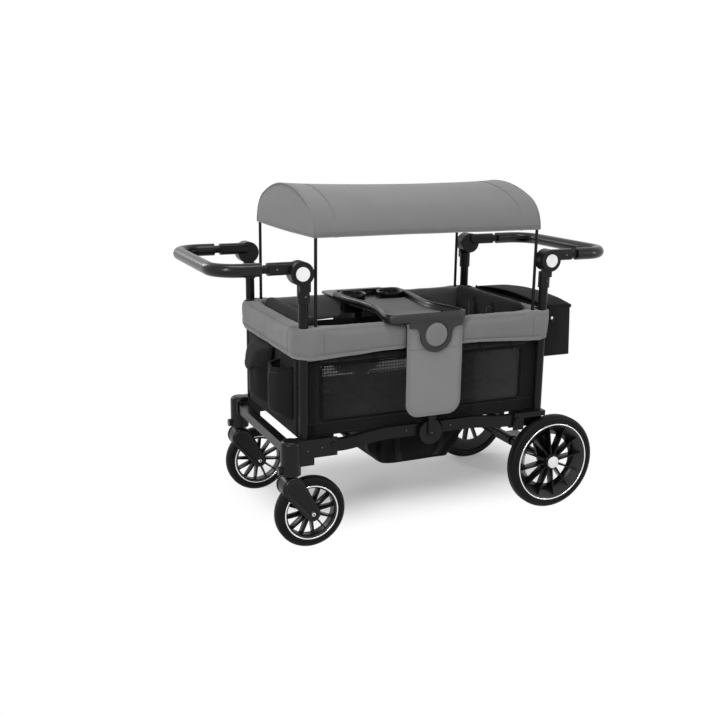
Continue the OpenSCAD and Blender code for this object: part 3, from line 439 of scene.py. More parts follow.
zinc_steel = hard_finish("zinc_steel", (0.62, 0.62, 0.63), 0.3, grain=2500, bump=0.05, metallic=1.0,
        soften=0.0005)
white_gloss = hard_finish("white_gloss", (0.88, 0.88, 0.88), 0.28, grain=2200, bump=0.03, soften=0.0015,
        vary=0.06)
grey_moulded = hard_finish("grey_moulded", (0.185, 0.185, 0.185), 0.5, grain=1400, bump=0.1, soften=0.002,
        specular=0.25)
print("hard finishes: 14")

# %% [markdown]
# ## Finishes on the frame's own pieces
# The tubes, rails, brackets, forks, hubs and buttons are right as they come from the CAD, so
# they only take their finish.

# %% Dress the hard nodes
HARD_DRESS = {powder_coat: ["rear_end_frame", "front_end_frame", "front_crossbar", "rear_brackets",
        "rear_floor_frame", "front_floor_frame", "rear_side_rails", "front_side_rails", "centre_posts",
        "front_handle_bar", "rear_handle_bar"],
        rod_coat: ["rear_canopy_hoop", "front_canopy_hoop", "rear_hinge_pins", "front_hinge_pins",
        "centre_hinge_pins"], moulded: ["rear_hub_bases", "front_hub_bases", "castor_housings",
        "castor_fork_left", "castor_fork_right", "castor_lock_left", "castor_lock_right",
        "front_handle_arms", "rear_handle_arms", "centre_hubs", "brake_pedal"],
        grip_foam: ["front_handle_grip", "rear_handle_grip"], zinc_steel: ["rear_axle"],
        white_gloss: ["front_button_left", "front_button_right", "rear_button_left", "rear_button_right"],
        grey_moulded: ["tray_mat"],}
for finish, names in HARD_DRESS.items():
    for name in names:
        mesh = nodes[name].data
        mesh.materials.clear()
        mesh.materials.append(finish)
print("dressed", sum(len(n) for n in HARD_DRESS.values()), "nodes")

# %% [markdown]
# ## Sewing tools
# A panel of cloth is a grid of points; its UV map is measured along the rows and columns, in
# metres. A tube follows a path, for bindings, piping and rolled cloth. Soft unevenness comes
# from Blender's own noise, which is the same in every run.


# %% Grid, tube and strap
def put(name, mesh, material):
    piece = bpy.data.objects.new(name, mesh)
    scene.collection.objects.link(piece)
    if material:
        mesh.materials.append(material)
    return piece


def panel(name, rows, material, closed=False, thick=0.0, keep=None, around=False):
    """A grid of cloth: rows of points, closed round each row if asked, with a wall thickness."""
    width, height = len(rows[0]), len(rows)
    mesh = bpy.data.meshes.new(name)
    across = width if closed else width - 1
    along = height if around else height - 1
    faces, corners = [], []
    for j in range(along):
        for i in range(across):
            if keep and not keep(i, j):
                continue
            i2, j2 = (i + 1) % width, (j + 1) % height
            faces.append((j * width + i, j * width + i2, j2 * width + i2, j2 * width + i))
            corners.append(((i, j), (i + 1, j), (i + 1, j + 1), (i, j + 1)))
    mesh.from_pydata([tuple(p) for row in rows for p in row], [], faces)
    mid = rows[height // 2]
    u = [0.0]
    for i in range(width):
        u.append(u[-1] + (Vector(mid[(i + 1) % width]) - Vector(mid[i])).length)
    v = [0.0]
    for j in range(height):
        v.append(v[-1] + (Vector(rows[(j + 1) % height][width // 2]) - Vector(rows[j][width // 2])).length)
    layer = mesh.uv_layers.new(name="cloth")
    for face, spots in zip(mesh.polygons, corners):
        for loop, (i, j) in zip(face.loop_indices, spots):
            layer.data[loop].uv = (u[i], v[j])
    mesh.polygons.foreach_set("use_smooth", [True] * len(mesh.polygons))
    piece = put(name, mesh, material)
    if thick:
        wall = piece.modifiers.new("wall", "SOLIDIFY")
        wall.thickness = thick
        wall.offset = 0.0
        wall.use_even_offset = True
    return piece


def ring_path(centre_line, radius, sides=10, flat=1.0, closed=False):
    """Rings of points round a path, for a tube or a flattened binding."""
    pts = [Vector(p) for p in centre_line]
    rings, count = [], len(pts)
    side = None
    for i, p in enumerate(pts):
        a = pts[(i - 1) % count] if closed or i else p
        b = pts[(i + 1) % count] if closed or i < count - 1 else p
        ahead = (b - a).normalized()
        if side is None:
            side = ahead.cross(Vector((0, 0, 1)))
            if side.length < 1e-3:
                side = ahead.cross(Vector((0, 1, 0)))
        side = (side - ahead * side.dot(ahead)).normalized()
        up = side.cross(ahead)
        r = radius(i / (count - 1)) if callable(radius) else radius
        rings.append([p + side * (r * math.cos(t)) + up * (r * flat * math.sin(t))
                for t in (2 * math.pi * k / sides for k in range(sides))])
    return rings


def outwards(piece):
    mesh = bmesh.new()
    mesh.from_mesh(piece.data)
    bmesh.ops.remove_doubles(mesh, verts=mesh.verts, dist=1e-6)
    bmesh.ops.recalc_face_normals(mesh, faces=mesh.faces)
    mesh.to_mesh(piece.data)
    mesh.free()
    return piece


def tube(name, path, radius, material, sides=10, flat=1.0, closed=False):
    rings = ring_path(path, radius, sides, flat, closed)
    if not closed:
        rings = [[Vector(path[0])] * sides] + rings + [[Vector(path[-1])] * sides]
    return outwards(panel(name, rings, material, closed=True, around=closed))


def ripple(p, size, seed=0.0):
    return noise.noise(Vector(p) * size + Vector((seed, seed * 1.7, seed * 0.3)))


def merge(name, pieces):
    """Joins finished meshes into one piece that keeps their materials."""
    depsgraph = bpy.context.evaluated_depsgraph_get()
    whole = bmesh.new()
    materials = []
    mesh = bpy.data.meshes.new(name)
    whole.loops.layers.uv.new("cloth")
    for piece in pieces:
        part = bpy.data.meshes.new_from_object(piece.evaluated_get(depsgraph))
        shift = []
        for material in part.materials:
            if material not in materials:
                materials.append(material)
            shift.append(materials.index(material))
        for face in part.polygons:
            face.material_index = shift[face.material_index]
        whole.from_mesh(part)
        bpy.data.objects.remove(piece)
    whole.to_mesh(mesh)
    whole.free()
    for material in materials:
        mesh.materials.append(material)
    return put(name, mesh, None)


def settled(piece):
    """Applies a piece's modifiers, so that its mesh is final."""
    depsgraph = bpy.context.evaluated_depsgraph_get()
    mesh = bpy.data.meshes.new_from_object(piece.evaluated_get(depsgraph))
    piece.modifiers.clear()
    piece.data = mesh
    return piece


print("sewing tools ready")

# %% [markdown]
# ## Repeating parts by Geometry Nodes
# Stitches follow a seam, screws sit where the frame is bolted, and spokes turn round a hub.
# Each is a small node tree with named sizes. A tree ends in Realize Instances and Set
# Material, and the result is turned into a plain mesh, so that nothing is left live.


# %% Node tree helpers
def shape_tree(name, inputs):
    tree = bpy.data.node_groups.new(name, "GeometryNodeTree")
    tree.interface.new_socket("Geometry", in_out="INPUT", socket_type="NodeSocketGeometry")
    start, end = group_sockets(tree, inputs, [("Geometry", "NodeSocketGeometry")])
    return tree, start, end


def close_tree(tree, geometry, material, end):
    real = tree.nodes.new("GeometryNodeRealizeInstances")
    paint = tree.nodes.new("GeometryNodeSetMaterial")
    smooth = tree.nodes.new("GeometryNodeSetShadeSmooth")
    join(tree, geometry, real.inputs[0])
    join(tree, real.outputs[0], smooth.inputs[0])
    join(tree, smooth.outputs[0], paint.inputs["Geometry"])
    join(tree, material, paint.inputs["Material"])
    join(tree, paint.outputs[0], end.inputs[0])


def grow(piece, tree, **values):
    """Runs a node tree on a piece with its named inputs set, and keeps the plain mesh."""
    work = piece.modifiers.new(tree.name, "NODES")
    work.node_group = tree
    for item in tree.interface.items_tree:
        if item.in_out == "INPUT" and item.name in values:
            work[item.identifier] = values[item.name]
    settled(piece)
    return piece


print("shape trees: helpers ready")

# %% [markdown]
# ## Stitches
# A seam is a row of short threads along a line. A node tree sets them along any edge at a fixed
# pitch, so that every seam on the wagon matches.


# %% Stitch tree
def build_stitches():
    tree, start, end = shape_tree("stitch_line", [
        ("Pitch", FLOAT, 0.005), ("Length", FLOAT, 0.0032), ("Thread", FLOAT, 0.0005),
        ("Material", "NodeSocketMaterial", None)])
    curve = tree.nodes.new("GeometryNodeMeshToCurve")
    spots = add(tree, "GeometryNodeCurveToPoints", mode="LENGTH")
    stitch = tree.nodes.new("GeometryNodeMeshCylinder")
    stitch.inputs["Vertices"].default_value = 6
    lay = add(tree, "FunctionNodeAlignRotationToVector", axis="Z")
    place = tree.nodes.new("GeometryNodeInstanceOnPoints")
    join(tree, start.outputs["Geometry"], curve.inputs[0])
    join(tree, curve.outputs[0], spots.inputs[0])
    join(tree, start.outputs["Pitch"], spots.inputs["Length"])
    join(tree, start.outputs["Thread"], stitch.inputs["Radius"])
    join(tree, start.outputs["Length"], stitch.inputs["Depth"])
    join(tree, spots.outputs["Tangent"], lay.inputs["Vector"])
    join(tree, spots.outputs[0], place.inputs["Points"])
    join(tree, stitch.outputs["Mesh"], place.inputs["Instance"])
    join(tree, lay.outputs[0], place.inputs["Rotation"])
    close_tree(tree, place.outputs[0], start.outputs["Material"], end)
    return tree


STITCHES = build_stitches()


def stitches(name, lines, material, pitch=0.0055, length=0.0036, thread=0.00055):
    mesh = bpy.data.meshes.new(name)
    points, edges = [], []
    for line in lines:
        edges += [(len(points) + i, len(points) + i + 1) for i in range(len(line) - 1)]
        points += [tuple(p) for p in line]
    mesh.from_pydata(points, edges, [])
    return grow(put(name, mesh, None), STITCHES, Pitch=pitch, Length=length, Thread=thread, Material=material)


print("stitch tree:", len(STITCHES.nodes), "nodes")

# %% [markdown]
# ## Canopy
# One sheet of grey cloth runs over the two hoops. It is tight over each hoop, where a sewn
# pocket holds the rod, and sags a little between them; a flat panel closes each end. It is
# built from the hoop's own curve: two side arcs and a crown arc. The end panels are sewn to
# the roof, and the whole canopy rides on the rear frame.

# %% Canopy roof
HOOP_X, HALF_WIDTH, CANOPY_Z, CANOPY_RISE = 0.3844, 0.257, 0.961, 0.133
ARCH_TURN = math.radians(25)
ARCH_Q = (CANOPY_RISE - HALF_WIDTH) / (1 - math.cos(ARCH_TURN) - math.sin(ARCH_TURN))
ARCH_SIDE = HALF_WIDTH - ARCH_Q * math.sin(ARCH_TURN)
ARCH_CROWN = ARCH_Q + ARCH_SIDE
ROOF_OVER, ROOF_LIFT, ROOF_SAG = 0.0076, 0.0068, 0.06


def arch_points(lift, side_steps=10, crown_steps=24):
    """Half turn of the hoop's curve from the left edge to the right edge, as (y, height)."""
    line = []
    for i in range(side_steps + 1):
        a = (math.pi / 2 - ARCH_TURN) * i / side_steps
        line.append((HALF_WIDTH - ARCH_SIDE + (ARCH_SIDE + lift) * math.cos(a),
                (ARCH_SIDE + lift) * math.sin(a)))
    for i in range(1, crown_steps + 1):
        a = math.pi / 2 - ARCH_TURN + 2 * ARCH_TURN * i / crown_steps
        line.append(((ARCH_CROWN + lift) * math.cos(a),
                CANOPY_RISE - ARCH_CROWN + (ARCH_CROWN + lift) * math.sin(a)))
    left = [(-y, z) for y, z in line[:side_steps][::-1]]
    return [(-y, z) for y, z in line + left]


def roof_point(x, y, height):
    free = max(0.0, 1 - (x / (HOOP_X - 0.012)) ** 2)
    drop = 1 - ROOF_SAG * free ** 0.8
    pull = 1 - 0.012 * free * (1 - height / CANOPY_RISE)
    wave = 0.0016 * free * ripple((x, y, height), 7.0, 3.0) * (0.3 + abs(y) / HALF_WIDTH)
    tuck = 0.0012 * math.exp(-((abs(x) - (HOOP_X - 0.062)) / 0.004) ** 2)
    return Vector((x, y * pull, CANOPY_Z + height * drop + wave - tuck))


def roof_stations(count=66):
    inner = [(HOOP_X + ROOF_OVER) * (2 * i / count - 1) for i in range(count + 1)]
    seam = HOOP_X - 0.062
    extra = [s * (seam + d) for s in (-1, 1) for d in (-0.004, -0.002, 0, 0.002, 0.004)]
    return sorted(inner + extra)


roof_x = roof_stations()
roof_rows = [[roof_point(x, y, h) for y, h in arch_points(ROOF_LIFT)] for x in roof_x]
canopy_roof = settled(panel("canopy_roof", roof_rows, grey_cloth, thick=0.0022))

# %% [markdown]
# ## Canopy ends
# An arched panel closes each end of the roof, with a bound hem and a seam. It is filled from the
# same arch as the roof, so that the edges meet.


# %% Canopy ends, hems and seams
def end_panel(name, sign):
    rows = []
    edge = arch_points(ROOF_LIFT - 0.0012)
    for k in range(9):
        share = k / 8
        row = []
        for y, h in edge:
            low = -0.003 * math.cos(y / HALF_WIDTH * math.pi / 2)
            z = low + (h - low) * share
            bulge = 0.0035 * math.sin(math.pi * share) * (1 - (y / HALF_WIDTH) ** 2)
            row.append(Vector((sign * (HOOP_X + 0.0062 + bulge), y * (1 if share else 0.997), CANOPY_Z + z)))
        rows.append(row)
    return settled(panel(name, rows, grey_cloth, thick=0.002))


def canopy_trim():
    parts = []
    for sign in (-1, 1):
        edge = [Vector((sign * (HOOP_X + 0.0072), y, CANOPY_Z + h)) for y,
                h in arch_points(ROOF_LIFT + 0.0006)]
        parts.append(tube("arch_piping", edge, 0.0019, grey_trim, sides=8))
        low = [Vector((sign * (HOOP_X + 0.0066), -HALF_WIDTH + 2 * HALF_WIDTH * i / 30,
                CANOPY_Z - 0.003 * math.cos((2 * i / 30 - 1) * math.pi / 2))) for i in range(31)]
        parts.append(tube("end_hem", low, 0.0022, grey_trim, sides=8))
    for k in (0, -1):
        edge = [row[k] for row in roof_rows]
        parts.append(tube("side_hem", edge, 0.0021, grey_trim, sides=8))
    return merge("canopy_trim", parts)


canopy_front_end = end_panel("canopy_front_end", -1)
canopy_rear_end = end_panel("canopy_rear_end", 1)
canopy_hems = canopy_trim()
seam_lines = []
for sign in (-1, 1):
    for inset in (0.0600, 0.0640):
        seam_lines.append([roof_point(sign * (HOOP_X - inset), y, h) + Vector((0, 0, 0.0014))
                for y, h in arch_points(ROOF_LIFT)])
for k, lift in ((1, 0.0012), (-2, 0.0012)):
    seam_lines.append([row[k] + Vector((0, math.copysign(lift, row[k].y), 0)) for row in roof_rows])
canopy_stitches = stitches("canopy_stitches", seam_lines, thread_grey)
CANOPY_PARTS = [canopy_roof, canopy_front_end, canopy_rear_end, canopy_hems, canopy_stitches]
for piece in CANOPY_PARTS:
    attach(piece, "rear_frame")
    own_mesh(piece)
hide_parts("canopy")

# %% [markdown]
# ## Padded rim
# The rim is a foam-filled sleeve round the top of the tub. Each end is one U of grey cloth that
# runs from the middle flap along one side, round the two corners and back. It is swept from a
# rounded section; the cloth is a little uneven, and it puckers at the corners where it turns.

# %% Rim section and path
POST_X, POST_Y, RIM_Z = 0.423, 0.257, 0.651
RIM_HALF_W, RIM_HALF_H, RIM_CORNER, RIM_GAP = 0.028, 0.0425, 0.030, 0.0895


def rim_section(top=0.0255, low=0.018, arc=8, sides=6, tops=4):
    """Rounded section from the outside bottom, up and over the top, as (outward, up)."""
    full = []
    corners = ((RIM_HALF_W - low, -RIM_HALF_H + low, low, -90, sides),
            (RIM_HALF_W - top, RIM_HALF_H - top, top, 0, tops),
            (-RIM_HALF_W + top, RIM_HALF_H - top, top, 90, sides),
            (-RIM_HALF_W + low, -RIM_HALF_H + low, low, 180, tops))
    for n, (cx, cz, r, start, steps) in enumerate(corners):
        full += [(cx + r * math.cos(math.radians(start + 90 * k / arc)),
                cz + r * math.sin(math.radians(start + 90 * k / arc))) for k in range(arc + 1)]
        nx, nz, nr, begin, _ = corners[(n + 1) % 4]
        a, b = full[-1], (nx + nr * math.cos(math.radians(begin)), nz + nr * math.sin(math.radians(begin)))
        full += [(a[0] + (b[0] - a[0]) * i / steps, a[1] + (b[1] - a[1]) * i / steps)
                for i in range(1, steps)]
    return full


def rim_path(sign):
    """Centre line from the left flap round the end to the right flap, with its outward side."""
    line = []
    bend_x, bend_y = POST_X - RIM_CORNER, POST_Y - RIM_CORNER
    for i in range(37):
        line.append((RIM_GAP + (bend_x - RIM_GAP) * i / 37, -POST_Y, 0, -1))
    for i in range(13):
        a = math.radians(-90 + 90 * i / 13)
        line.append((bend_x + RIM_CORNER * math.cos(a), -bend_y + RIM_CORNER * math.sin(a), math.cos(a),
                math.sin(a)))
    for i in range(24):
        line.append((POST_X, -bend_y + bend_y * i / 24, 1, 0))
    line.append((POST_X, 0, 1, 0))
    line += [(x, -y, ox, -oy) for x, y, ox, oy in line[:-1][::-1]]
    return [(sign * x, y, sign * ox, oy) for x, y, ox, oy in line]


def at_corner(place, reach=0.05):
    x, y = place[:2]
    return math.exp(-(((abs(x) - POST_X + 0.012) / reach) ** 2 + ((abs(y) - POST_Y + 0.012) / reach) ** 2))


def eased(value, low, high):
    t = max(0.0, min(1.0, (value - low) / (high - low)))
    return t * t * (3 - 2 * t)


def rim_point(place, outward, up, along):
    x, y, ox, oy = place
    corner = at_corner(place)
    face = max(0.0, outward / RIM_HALF_W)
    crown = 0.0042 * face * (1 - (up / RIM_HALF_H) ** 2) + 0.0030 * face * corner
    wave = 0.0013 * ripple((x, y, up), 14.0, 5.0) + 0.0007 * ripple((x * 3, y * 3, up), 22.0, 8.0)
    pucker = 0.0016 * corner * math.sin(along * 150 + up * 40)
    pinch = 1 - 0.16 * math.exp(-(abs(x) - RIM_GAP) / 0.007)
    out = outward + (crown + wave + pucker) * math.copysign(1, outward) * (abs(outward) / RIM_HALF_W)
    lift = up + (wave * 0.8 + 0.5 * pucker) * up / RIM_HALF_H
    droop = 0.015 * eased(abs(x), 0.13, 0.40) * max(0.0, -up / RIM_HALF_H) ** 1.5
    return Vector((x + ox * out * pinch, y + oy * out * pinch,
            RIM_Z + lift * (1 - (1 - pinch) * 0.6) - droop))


print("rim path:", len(rim_path(1)), "places")

# %% [markdown]
# ## Rim sleeves
# The section is swept along the path, one sleeve for each half. A swept grid keeps clean rows of
# faces for the seams, which a remeshed block would not.


# %% Sew the rim sleeves
def rim_sleeve(end, sign):
    path = rim_path(sign)
    rows, along = [], 0.0
    for i, place in enumerate(path):
        if i:
            along += math.hypot(place[0] - path[i - 1][0], place[1] - path[i - 1][1])
        section = rim_section(top=0.0255 - 0.0200 * min(1.0, 1.3 * at_corner(place, 0.06)))
        rows.append([rim_point(place, o, u, along) for o, u in section])
    ends = []
    for k, step in ((0, -1), (-1, -1)):
        x, y, ox, oy = path[k]
        inner = [Vector((x + sign * step * 0.006, y + oy * o * 0.55, RIM_Z + u * 0.55)) for o, u in section]
        middle = [Vector((x + sign * step * 0.0045, y, RIM_Z))] * len(section)
        ends.append((middle, inner))
    rows = [ends[0][0], ends[0][1]] + rows + [ends[1][1], ends[1][0]]
    sleeve = outwards(panel(f"{end}_rim_sleeve", rows, grey_cloth, closed=True))
    return sleeve, path


def rim_line(path, outward, up, first=1, last=None):
    return [rim_point(p, outward, up, 0) for p in path[first:last]]


def rim_hem(end, path):
    """Flat binding along the lower outside edge."""
    low = rim_line(path, RIM_HALF_W - 0.0016, -RIM_HALF_H + 0.0075, 0)
    return tube(f"{end}_rim_hem", low, 0.0024, grey_trim, sides=8, flat=2.4)


for end, sign in (("rear", 1), ("front", -1)):
    sleeve, path = rim_sleeve(end, sign)
    hem = rim_hem(end, path)
    lines = [rim_line(path, RIM_HALF_W + 0.0012, -0.027), rim_line(path, RIM_HALF_W - 0.004, 0.0372)]
    for k in (34, 52, 95, 113):
        x, y, ox, oy = path[min(k, len(path) - 1)]
        lines.append([rim_point((x, y, ox, oy), RIM_HALF_W + 0.001, -0.030 + 0.006 * i, 0)
                for i in range(10)])
    seam = stitches(f"{end}_rim_stitches", lines, thread_grey)
    for piece in (sleeve, hem, seam):
        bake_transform(piece)
    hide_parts(f"{end}_rim_pad", f"{end}_side_pads")
    print(sleeve.name, len(sleeve.data.polygons), "faces")

# %% [markdown]
# ## Flaps over the middle hinge
# A grey flap hangs from the tray clamp over the folding middle of each side. It is two layers
# of cloth with a little wadding, round at its lower corners, with a bound edge, a row of
# stitches inside it and one seam across where it is folded over the rail.

# %% Middle flaps
FLAP_HALF, FLAP_LOW, FLAP_TOP, FLAP_ROUND = 0.0970, 0.388, 0.690, 0.045
FLAP_Y, FLAP_SEAM = 0.2972, 0.6055


def flap_half(z):
    up = z - FLAP_LOW
    if up >= FLAP_ROUND:
        return FLAP_HALF
    return FLAP_HALF - FLAP_ROUND + math.sqrt(max(0.0, FLAP_ROUND ** 2 - (FLAP_ROUND - up) ** 2))


def flap_point(side, share, z):
    x = share * flap_half(z)
    edge = min(1.0, (1 - abs(share)) * flap_half(z) / 0.02, (z - FLAP_LOW) / 0.02)
    low = min(1.0, max(0.0, (FLAP_SEAM + 0.0055 - z) / 0.05))
    puff = 0.0032 * math.sqrt(max(0.0, edge)) * low
    crease = 0.0011 * math.exp(-((z - FLAP_SEAM - 0.0035) / 0.003) ** 2)
    wave = 0.0007 * ripple((x, z, side), 16.0, 2.0) * low
    return Vector((x, side * (FLAP_Y + puff + wave - crease), z))


def flap_rows(side, columns=33):
    levels = [FLAP_LOW + FLAP_ROUND * (1 - math.cos(math.pi / 2 * i / 12)) for i in range(12)]
    levels += [FLAP_LOW + FLAP_ROUND + (FLAP_TOP - FLAP_LOW - FLAP_ROUND) * i / 40 for i in range(41)]
    return [[flap_point(side, 2 * k / (columns - 1) - 1, z) for k in range(columns)] for z in levels]


def flap_outline(side, inset, lift):
    line = []
    for i in range(41):
        z = FLAP_TOP - (FLAP_TOP - FLAP_LOW - FLAP_ROUND) * i / 40
        line.append((-FLAP_HALF + inset, z))
    for i in range(1, 13):
        a = math.pi / 2 * i / 12
        r = FLAP_ROUND - inset
        line.append((-FLAP_HALF + FLAP_ROUND - r * math.cos(a), FLAP_LOW + FLAP_ROUND - r * math.sin(a)))
    line += [(-x, z) for x, z in line[::-1]]
    points = []
    for x, z in line:
        p = flap_point(side, max(-1.0, min(1.0, x / max(1e-6, flap_half(max(z, FLAP_LOW + 1e-4))))), z)
        points.append(p + Vector((0, side * lift, 0)))
    return points


for side, word in ((-1, "left"), (1, "right")):
    flap = settled(panel(f"flap_{word}", flap_rows(side), grey_flap, thick=0.0026))
    bound = tube(f"flap_binding_{word}", flap_outline(side, 0.0015, 0.0), 0.0019, grey_trim, sides=8,
            flat=1.5)
    across = [flap_point(side, 2 * i / 40 - 1, FLAP_SEAM) + Vector((0, side * 0.0016, 0))
            for i in range(1, 40)]
    sewn = stitches(f"flap_stitches_{word}", [flap_outline(side, 0.0085, 0.0016), across], thread_grey)
    for piece in (flap, bound, sewn):
        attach(piece, "centre")
    if side < 0:
        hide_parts("hinge_flaps")
print("flaps", round(2 * FLAP_HALF, 3), "by", round(FLAP_TOP - FLAP_LOW, 3), "m")

# %% [markdown]
# ## Tub walls with mesh windows
# Each side of the tub is two black panels that meet at the middle hinge. A panel has a border
# of woven cloth round a window of coarse net. The net is real: flat threads crossing at a
# fixed pitch, laid out by a node tree, so that the inside shows through it as it should.


# %% Net tree
def build_net():
    tree, start, end = shape_tree("window_net", [
        ("Width", FLOAT, 0.35), ("Height", FLOAT, 0.18), ("Pitch", FLOAT, 0.003), ("Thread", FLOAT, 0.001),
        ("Thickness", FLOAT, 0.0005), ("Material", "NodeSocketMaterial", None)])
    layers = tree.nodes.new("GeometryNodeJoinGeometry")
    for axis, run, rise in ((0, "Width", "Height"), (1, "Height", "Width")):
        count = calc(tree, "FLOOR", calc(tree, "DIVIDE", start.outputs[run], start.outputs["Pitch"]))
        line = add(tree, "GeometryNodeMeshLine", mode="OFFSET")
        step = tree.nodes.new("ShaderNodeCombineXYZ")
        begin = tree.nodes.new("ShaderNodeCombineXYZ")
        size = tree.nodes.new("ShaderNodeCombineXYZ")
        thread = tree.nodes.new("GeometryNodeMeshCube")
        place = tree.nodes.new("GeometryNodeInstanceOnPoints")
        join(tree, start.outputs["Pitch"], step.inputs[axis])
        half_run = calc(tree, "MULTIPLY", start.outputs[run], -0.5)
        join(tree, calc(tree, "MULTIPLY_ADD", start.outputs["Pitch"], 0.5, half_run), begin.inputs[axis])
        shift = calc(tree, "MULTIPLY", start.outputs["Thickness"], 0.7 if axis else -0.7)
        join(tree, shift, begin.inputs[2])
        join(tree, start.outputs["Thread"], size.inputs[axis])
        join(tree, start.outputs[rise], size.inputs[1 - axis])
        join(tree, start.outputs["Thickness"], size.inputs[2])
        join(tree, count, line.inputs["Count"])
        join(tree, begin.outputs[0], line.inputs["Start Location"])
        join(tree, step.outputs[0], line.inputs["Offset"])
        join(tree, size.outputs[0], thread.inputs["Size"])
        join(tree, line.outputs[0], place.inputs["Points"])
        join(tree, thread.outputs["Mesh"], place.inputs["Instance"])
        join(tree, place.outputs[0], layers.inputs[0])
    close_tree(tree, layers.outputs[0], start.outputs["Material"], end)
    return tree


NET = build_net()
print("net tree:", len(NET.nodes), "nodes")

# %% [markdown]
# ## Tub sides
# Each panel is a cloth border with the net set in its window. The panels ride on the top rails.

# %% Tub sides
WALL_Y, TUB_Z, WALL_TOP, WALL_END = 0.2345, 0.3452, 0.6072, 0.4345
WINDOW_X0, WINDOW_X1, WINDOW_Z0, WINDOW_Z1 = 0.014, 0.361, 0.392, 0.5705


def wall_border(name, sign, side, offset, begin):
    xs = sorted({begin, WINDOW_X0, WINDOW_X1, WALL_END}
            | {WINDOW_X0 + (WINDOW_X1 - WINDOW_X0) * i / 36 for i in range(37)}
            | {WINDOW_X1 + (WALL_END - WINDOW_X1) * i / 8 for i in range(9)})
    zs = sorted({TUB_Z, WINDOW_Z0, WINDOW_Z1, WALL_TOP}
            | {TUB_Z + (WINDOW_Z0 - TUB_Z) * i / 6 for i in range(7)}
            | {WINDOW_Z0 + (WINDOW_Z1 - WINDOW_Z0) * i / 16 for i in range(17)})
    rows = []
    for z in zs:
        row = []
        for x in xs:
            edge = min(1.0, (x - begin) / 0.02, (WALL_END - x) / 0.02, (z - TUB_Z) / 0.015)
            wave = (0.0022 * ripple((x, z, sign), 9.0, side + 2) + 0.001
                    * ripple((x * 2, z, side), 30.0, 7)) * max(0, edge)
            row.append(Vector((sign * x, side * (WALL_Y + offset + wave), z)))
        rows.append(row)

    def outside_window(i, j):
        x, z = (xs[i] + xs[i + 1]) / 2, (zs[j] + zs[j + 1]) / 2
        return not (WINDOW_X0 < x < WINDOW_X1 and WINDOW_Z0 < z < WINDOW_Z1)

    return settled(panel(name, rows, black_cloth, thick=0.0022, keep=outside_window))


def window_edge(name, sign, side, offset):
    inset, r = 0.003, 0.012
    x0, x1, z0, z1 = WINDOW_X0 + inset, WINDOW_X1 - inset, WINDOW_Z0 + inset, WINDOW_Z1 - inset
    line = []
    for cx, cz, start in ((x1 - r, z1 - r, 0), (x0 + r, z1 - r, 90), (x0 + r, z0 + r, 180),
            (x1 - r, z0 + r, 270)):
        line += [(cx + r * math.cos(math.radians(start + 15 * k)),
                cz + r * math.sin(math.radians(start + 15 * k))) for k in range(7)]
    full = []
    for (a, b), (c, d) in zip(line, line[1:] + line[:1]):
        steps = max(1, round(math.hypot(c - a, d - b) / 0.02))
        full += [(a + (c - a) * i / steps, b + (d - b) * i / steps) for i in range(steps)]
    path = [Vector((sign * x, side * (WALL_Y + offset + 0.0016), z)) for x, z in full]
    return tube(name, path, 0.0058, web_black, sides=8, flat=0.22, closed=True)


for end, sign in (("rear", 1), ("front", -1)):
    for side, word in ((-1, "left"), (1, "right")):
        offset, begin = (0.0, -0.009) if end == "rear" else (0.0026, 0.002)
        tag = f"{end}_{word}"
        wall = wall_border(f"wall_{tag}", sign, side, offset, begin)
        edge = window_edge(f"window_edge_{tag}", sign, side, offset)
        net = grow(put(f"window_net_{tag}", bpy.data.meshes.new("net"), None), NET,
                Width=WINDOW_X1 - WINDOW_X0, Height=WINDOW_Z1 - WINDOW_Z0, Pitch=0.0018, Thread=0.00085,
                Thickness=0.0004, Material=net_black)
        turn = Matrix.Rotation(math.radians(90), 4, "X")
        turn.translation = (sign * (WINDOW_X0 + WINDOW_X1) / 2, side * (WALL_Y + offset),
                (WINDOW_Z0 + WINDOW_Z1) / 2)
        net.data.transform(turn)
        lines = [[Vector((sign * (0.006 + 0.42 * i / 40), side * (WALL_Y + offset + 0.0026), z))
                for i in range(41)] for z in (WINDOW_Z0 - 0.006, TUB_Z + 0.006)]
        sewn = stitches(f"wall_stitches_{tag}", lines, thread_black)
        for piece in (wall, edge, net, sewn):
            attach(piece, f"{end}_top_rails")
            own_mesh(piece)
        if side < 0:
            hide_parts(f"{end}_side_walls")
print("tub sides: border, net and window edge on four panels")

# %% [markdown]
# ## Rolled shades
# Above each window the sun shade is rolled up under the rim and tied with short straps. A
# rolled cloth is a tube that is never quite round, with the free edge showing as a spiral step.


# %% Shade rolls
ROLL_R, ROLL_Z, ROLL_Y = 0.0125, 0.5925, 0.2505


def shade_roll(name, sign, side):
    rows = []
    for i in range(61):
        x = 0.024 + 0.336 * i / 60
        pinch = sum(math.exp(-((x - t) / 0.010) ** 2) for t in (0.075, 0.190, 0.305))
        row = []
        for k in range(20):
            a = 2 * math.pi * k / 20
            step = 0.0016 * (a / (2 * math.pi))
            r = ROLL_R - 0.0022 * pinch + step - 0.0008 + 0.0009 * ripple((x, a, side), 12.0, sign + 3)
            row.append(Vector((sign * x, side * (ROLL_Y + r * math.cos(a)), ROLL_Z + r * 0.92 * math.sin(a))))
        rows.append(row)
    caps = [[Vector((row[0].x, side * ROLL_Y, ROLL_Z))] * 20 for row in (rows[0], rows[-1])]
    return outwards(panel(name, [caps[0]] + rows + [caps[1]], black_cloth, closed=True))


